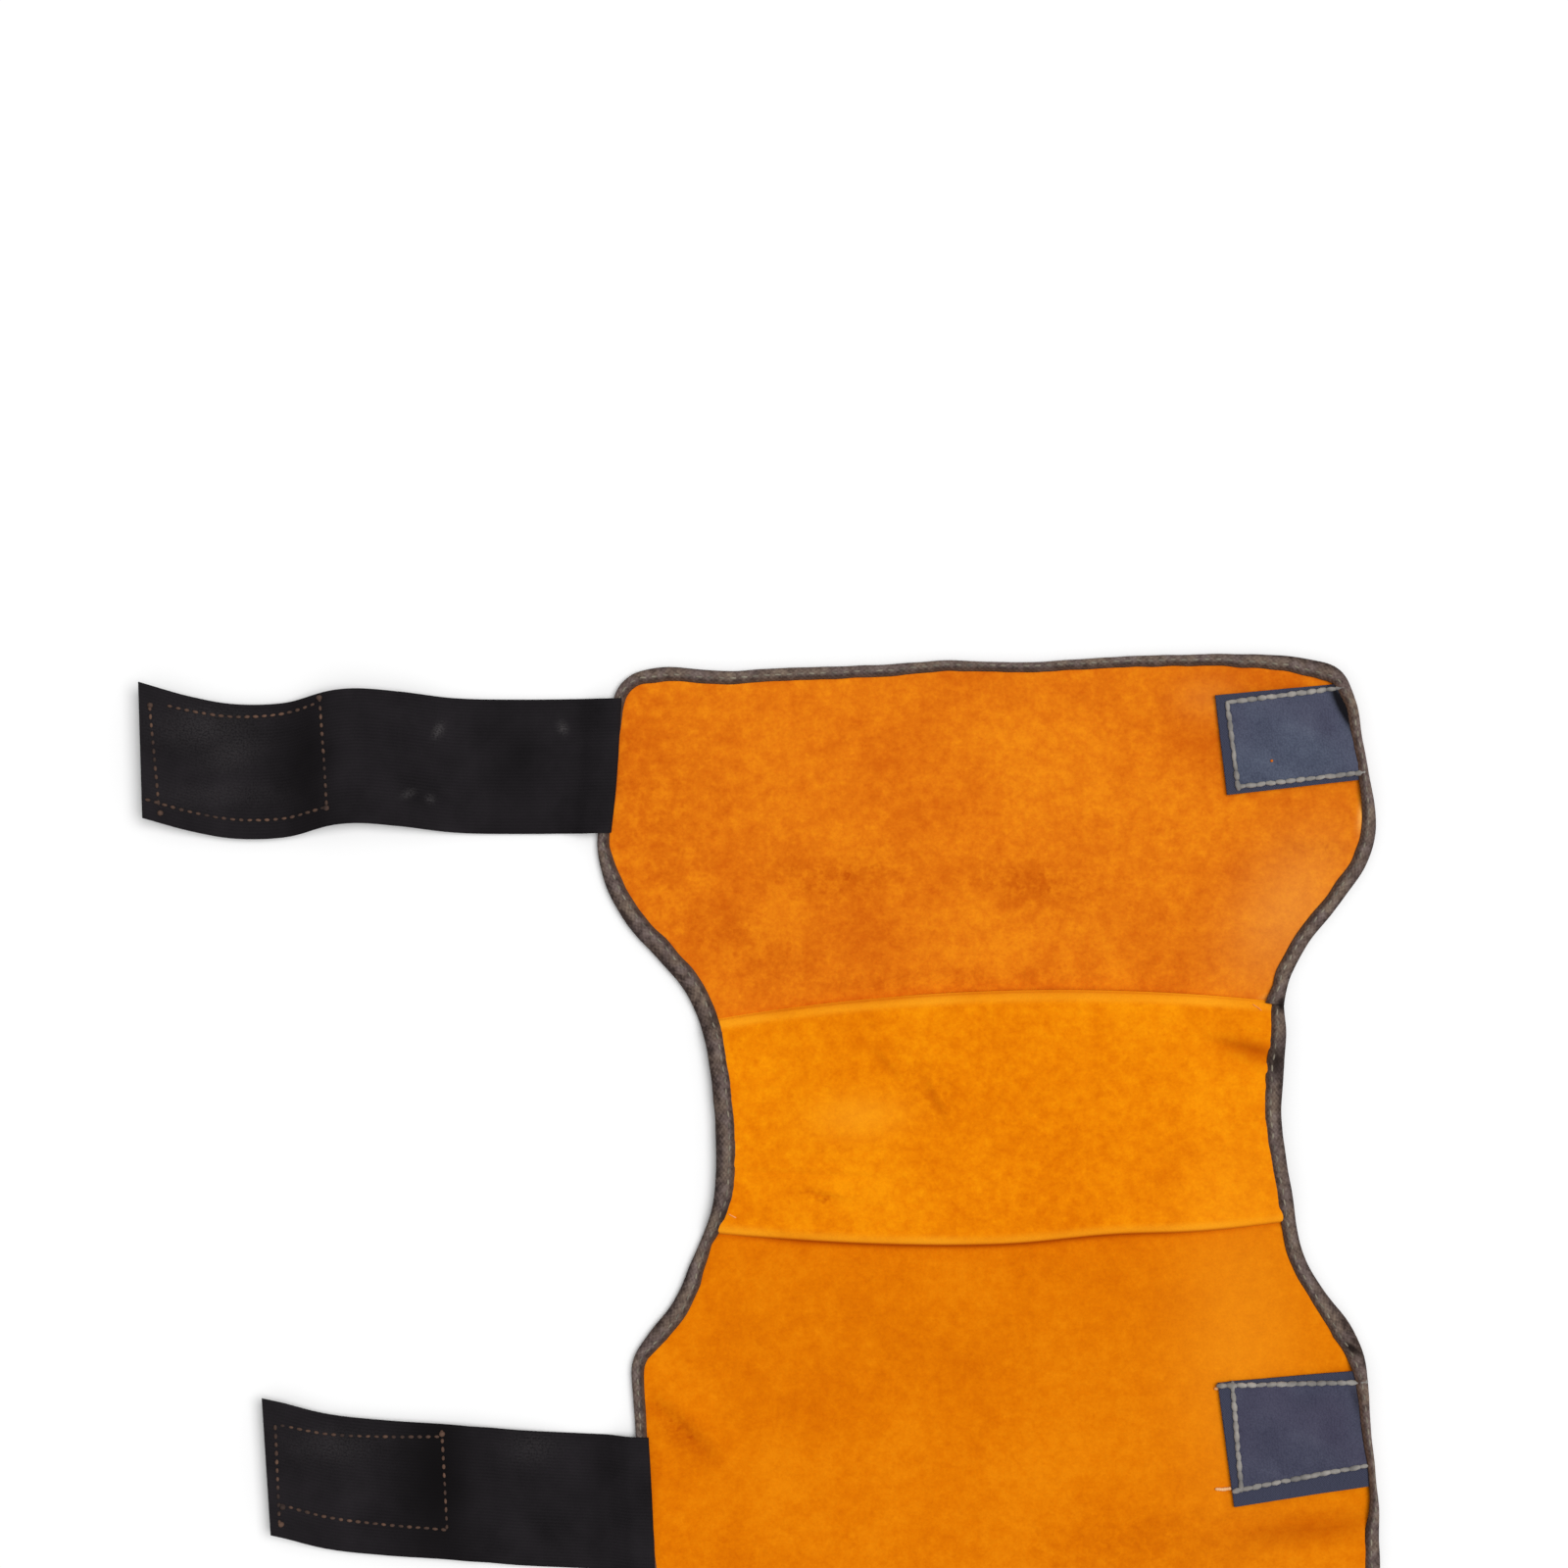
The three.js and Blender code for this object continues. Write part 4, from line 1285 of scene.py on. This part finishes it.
# %% [markdown]
# ## Stitches
#
# Every stitch is a short length of thread that dives into the cloth at both ends. A curve for each
# would be heavy. One small round bead, pulled long like a grain of rice and sunk halfway in, does as
# well. They are set one after another along lines that are read from the finished surfaces, with a
# little unevenness from a seeded random number. Set closer than their own length, the same beads make a
# loose end of thread, and a round one makes a knot.

# %% One bead for each stitch
BEAD_SIDES = 6
BEAD_RINGS = 4
STITCH_TURN = 0.12
STITCH_LENGTHS = (0.85, 1.1)
STITCH_WIDTHS = (0.85, 1.15)


def bead(shape, spot, run, long, thick):
    """Adds a bead of thread to a bmesh, pulled long in the direction of run."""
    side = Vector((0, 0, 1)).cross(run).normalized()
    up = run.cross(side)
    axes = Matrix((side * thick / 2, up * thick / 2, run * long / 2)).transposed().to_4x4()
    place = Matrix.Translation(Vector(spot)) @ axes
    bmesh.ops.create_uvsphere(shape, u_segments=BEAD_SIDES, v_segments=BEAD_RINGS, radius=1, matrix=place)


def knot(shape, spot, size):
    """Adds a knot of thread to a bmesh."""
    bead(shape, spot, Vector((1, 0, 0)), size, size)


def sew(shape, line, pitch, long, thick, seed):
    """Adds stitches along a line of points to a bmesh. Says how many."""
    uneven = random.Random(seed)
    places = np.arange(pitch / 2, lengths_along(line)[-1], pitch)
    runs = points_at(line, places + pitch / 3) - points_at(line, places - pitch / 3)
    for spot, run in zip(points_at(line, places), runs):
        run = Vector(run).normalized()
        run.rotate(Matrix.Rotation(uneven.uniform(-STITCH_TURN, STITCH_TURN), 3, "Z"))
        stitch_long = long * uneven.uniform(*STITCH_LENGTHS)
        bead(shape, spot, run, stitch_long, thick * uneven.uniform(*STITCH_WIDTHS))
    return len(places)


print("faces in a stitch:", BEAD_SIDES * BEAD_RINGS)

# %% Spin the threads
THREAD_ROUGHNESS = 0.6
THREAD_SHADES = {
    # thread: its dark and light colours
    "grey_thread": ((96, 88, 80), (142, 134, 118)),
    "brown_thread": ((56, 44, 40), (104, 78, 64)),
    "cream_thread": ((120, 117, 114), (162, 157, 151)),
    "pink_thread": ((236, 144, 70), (244, 166, 98)),
    "pale_thread": ((220, 162, 106), (238, 186, 134)),
}


def thread_finish(name, dark, light):
    """Spun sewing thread: uneven colour and a fine twist."""
    material, tree, shader = new_finish(name)
    spun = use_group(tree, spun_thread, Vector=object_place(tree))
    tone = ramp(tree, spun["Twist"], (0.35, dark), (0.65, light))
    dullness = weighed(tree, (spun["Height"], 0.3), start=THREAD_ROUGHNESS)
    set_inputs(tree, shader, Base_Color=tone, Roughness=dullness, Specular_IOR_Level=0.2)
    bump(tree, shader, spun["Height"], 0.15 * MM)
    return material


spools = {name: thread_finish(name, *shades) for name, shades in THREAD_SHADES.items()}
print("threads:", list(spools))

# %% Stitch the binding
BINDING_PITCH = 4.2 * MM
BINDING_STITCH = (2.7 * MM, 0.8 * MM)

binding_line = folded([TAPE_WIDTH - STITCH_INSET])[0]
binding_line[:, 2] += TAPE / 2
shape = bmesh.new()
print("binding stitches:", sew(shape, binding_line, BINDING_PITCH, *BINDING_STITCH, seed=10))
dress(new_piece("binding_stitches", shape), spools["grey_thread"], "binding_tape")


# %% Find places on a finished sheet
def on_sheet(points, start, end, steps=60):
    """A straight run on a sheet's flat cut, from one (along, across) share to another."""
    shares = np.linspace(0, 1, steps)
    columns = (start[0] + (end[0] - start[0]) * shares) * (points.shape[1] - 1)
    rows = (start[1] + (end[1] - start[1]) * shares) * (points.shape[0] - 1)
    down = line_weights(points.shape[0], rows)
    along = line_weights(points.shape[1], columns)
    return np.einsum("ni,ijk,nj->nk", down, points, along)


def sew_sheet(shape, points, lines, knots, lift, pitch, stitch, knot_size, seed):
    """Adds lines of stitches and some knots to a bmesh, at shares of a sheet. Says how many stitches."""
    count = 0
    for k, (start, end) in enumerate(lines):
        line = on_sheet(points, start, end)
        line[:, 2] += lift
        count += sew(shape, line, pitch, *stitch, seed + k)
    for place in knots:
        knot(shape, on_sheet(points, place, place, 1)[0], knot_size)
    return count


patch_middle = on_sheet(nets["upper_loops"], (0.5, 0.5), (0.5, 0.5), 1)[0]
print("middle of the upper patch in mm:", (patch_middle / MM).round(1))

# %% Stitch the boxes on the straps
STRAP_STITCH = (2.1 * MM, 1.3 * MM)
STRAP_PITCH = 3.2 * MM
STRAP_KNOT = 2.4 * MM
BOX_SEEDS = {"upper": 20, "lower": 30}
BOX_LINES = {
    # strap: each line of stitches from one place to another, in mm from its tip and shares of its width
    "upper": (
        ((0.6, 0.145), (71.0, 0.14)),
        ((70.9, 0.14), (67.6, 0.98)),
        ((66.4, 0.93), (8.5, 0.885)),
        ((3.6, 0.86), (6.2, 0.09)),
    ),
    "lower": (
        ((3.6, 0.245), (67.5, 0.22)),
        ((67.4, 0.21), (67.6, 0.98)),
        ((67.2, 0.91), (4.0, 0.83)),
        ((4.4, 0.84), (3.6, 0.09)),
    ),
}
BOX_KNOTS = {
    "upper": ((70.8, 0.135), (6.6, 0.075), (67.6, 0.965), (3.8, 0.85)),
    "lower": ((67.6, 0.93), (5.2, 0.23), (4.2, 0.10)),
}

for level in LEVELS:
    points = nets[f"{level}_elastic"]
    to_shares = (MM / middle_lengths(points)[0][-1], 1)
    lines = np.array(BOX_LINES[level]) * to_shares
    knots = np.array(BOX_KNOTS[level]) * to_shares
    shape = bmesh.new()
    count = sew_sheet(shape, points, lines, knots, 0,
                      STRAP_PITCH, STRAP_STITCH, STRAP_KNOT, BOX_SEEDS[level])
    dress(new_piece(f"{level}_strap_stitches", shape), spools["brown_thread"], "elastic")
    print(level, "strap stitches:", count)

# %% Stitch the loop patches on three sides; the fourth is under the binding
PATCH_STITCH = (5.0 * MM, 2.2 * MM)
PATCH_PITCH = 3.7 * MM
PATCH_KNOT = 2.0 * MM
PATCH_LIFT = 0.15 * MM
PATCH_SEEDS = {"upper": 40, "lower": 50}
PATCH_KNOTS = {"upper": ((0.085, 0.09),), "lower": ((0.09, 0.96), (0.07, 0.13))}

for level in LEVELS:
    shape = bmesh.new()
    count = sew_sheet(shape, nets[f"{level}_loops"], SEWN[level], PATCH_KNOTS[level], PATCH_LIFT,
                      PATCH_PITCH, PATCH_STITCH, PATCH_KNOT, PATCH_SEEDS[level])
    dress(new_piece(f"{level}_loop_stitches", shape), spools["cream_thread"], "loop_tape")
    print(level, "patch stitches:", count)

# %% Leave the loose ends of thread
PINK_TAIL = (1.6 * MM, 0.5 * MM)
CREAM_TAIL = (2.0 * MM, 1.5 * MM)
TAIL_PITCH = 0.9 * MM
LOOSE_LIFT = 1 / 3
PINK_ENDS = (
    # panel, then the places in mm that a loose end lies through
    ("knee_suede", (182.6, 156.2), (184.2, 155.2), (185.4, 154.2)),
    ("shin_suede", (-10.6, 74.6), (-8.6, 73.8), (-6.6, 73.2)),
    ("knee_suede", (-12.0, 78.5), (-9.9, 77.4)),
)
CREAM_ENDS = (
    ("shin_suede", (174.5, -23.8), (171.5, -24.2), (168.8, -24.0)),
    ("shin_suede", (170.6, 13.6), (168.6, 13.2)),
)


def lying_on(sheet, x, y, thick):
    """The middle of a loose bead that lies on a sheet at a place in plan, given in mm."""
    points = nets[sheet]
    height = points.reshape(-1, 3)[nearest(points, x, y), 2]
    return np.array([x * MM, y * MM, height + thick * LOOSE_LIFT])


def loose_ends(name, ends, bead_size, thread, slot, seed):
    """Short ends of thread that lie on the hide."""
    shape = bmesh.new()
    for sheet, *places in ends:
        line = np.array([lying_on(sheet, x, y, bead_size[1]) for x, y in places])
        sew(shape, line, TAIL_PITCH, *bead_size, seed)
    dress(new_piece(name, shape), spools[thread], slot)
    print(name, "ends:", len(ends))


loose_ends("pink_tails", PINK_ENDS, PINK_TAIL, "pink_thread", "knee_suede", seed=60)
loose_ends("cream_tails", CREAM_ENDS, CREAM_TAIL, "pale_thread", "loop_tape", seed=70)

# %% Drop a crumb of suede on the upper patch
CRUMB = 1.1 * MM
CRUMB_PLACE = (189.5, 246.7)

shape = bmesh.new()
knot(shape, lying_on("upper_loops", *CRUMB_PLACE, CRUMB), CRUMB)
dress(new_piece("suede_crumb", shape), hides["thigh_hide"], "thigh_suede")
print("crumb in mm:", CRUMB / MM)

# %% [markdown]
# ## How big the tape was cut
#
# The tape's size before it was folded is printed here, its length read from the points it was made
# from, so it stays true if the edge changes.


print("edge_tape cut", round(TAPE_WIDTH / MM, 1), "by", round(edge_along[-1] / MM), "mm")
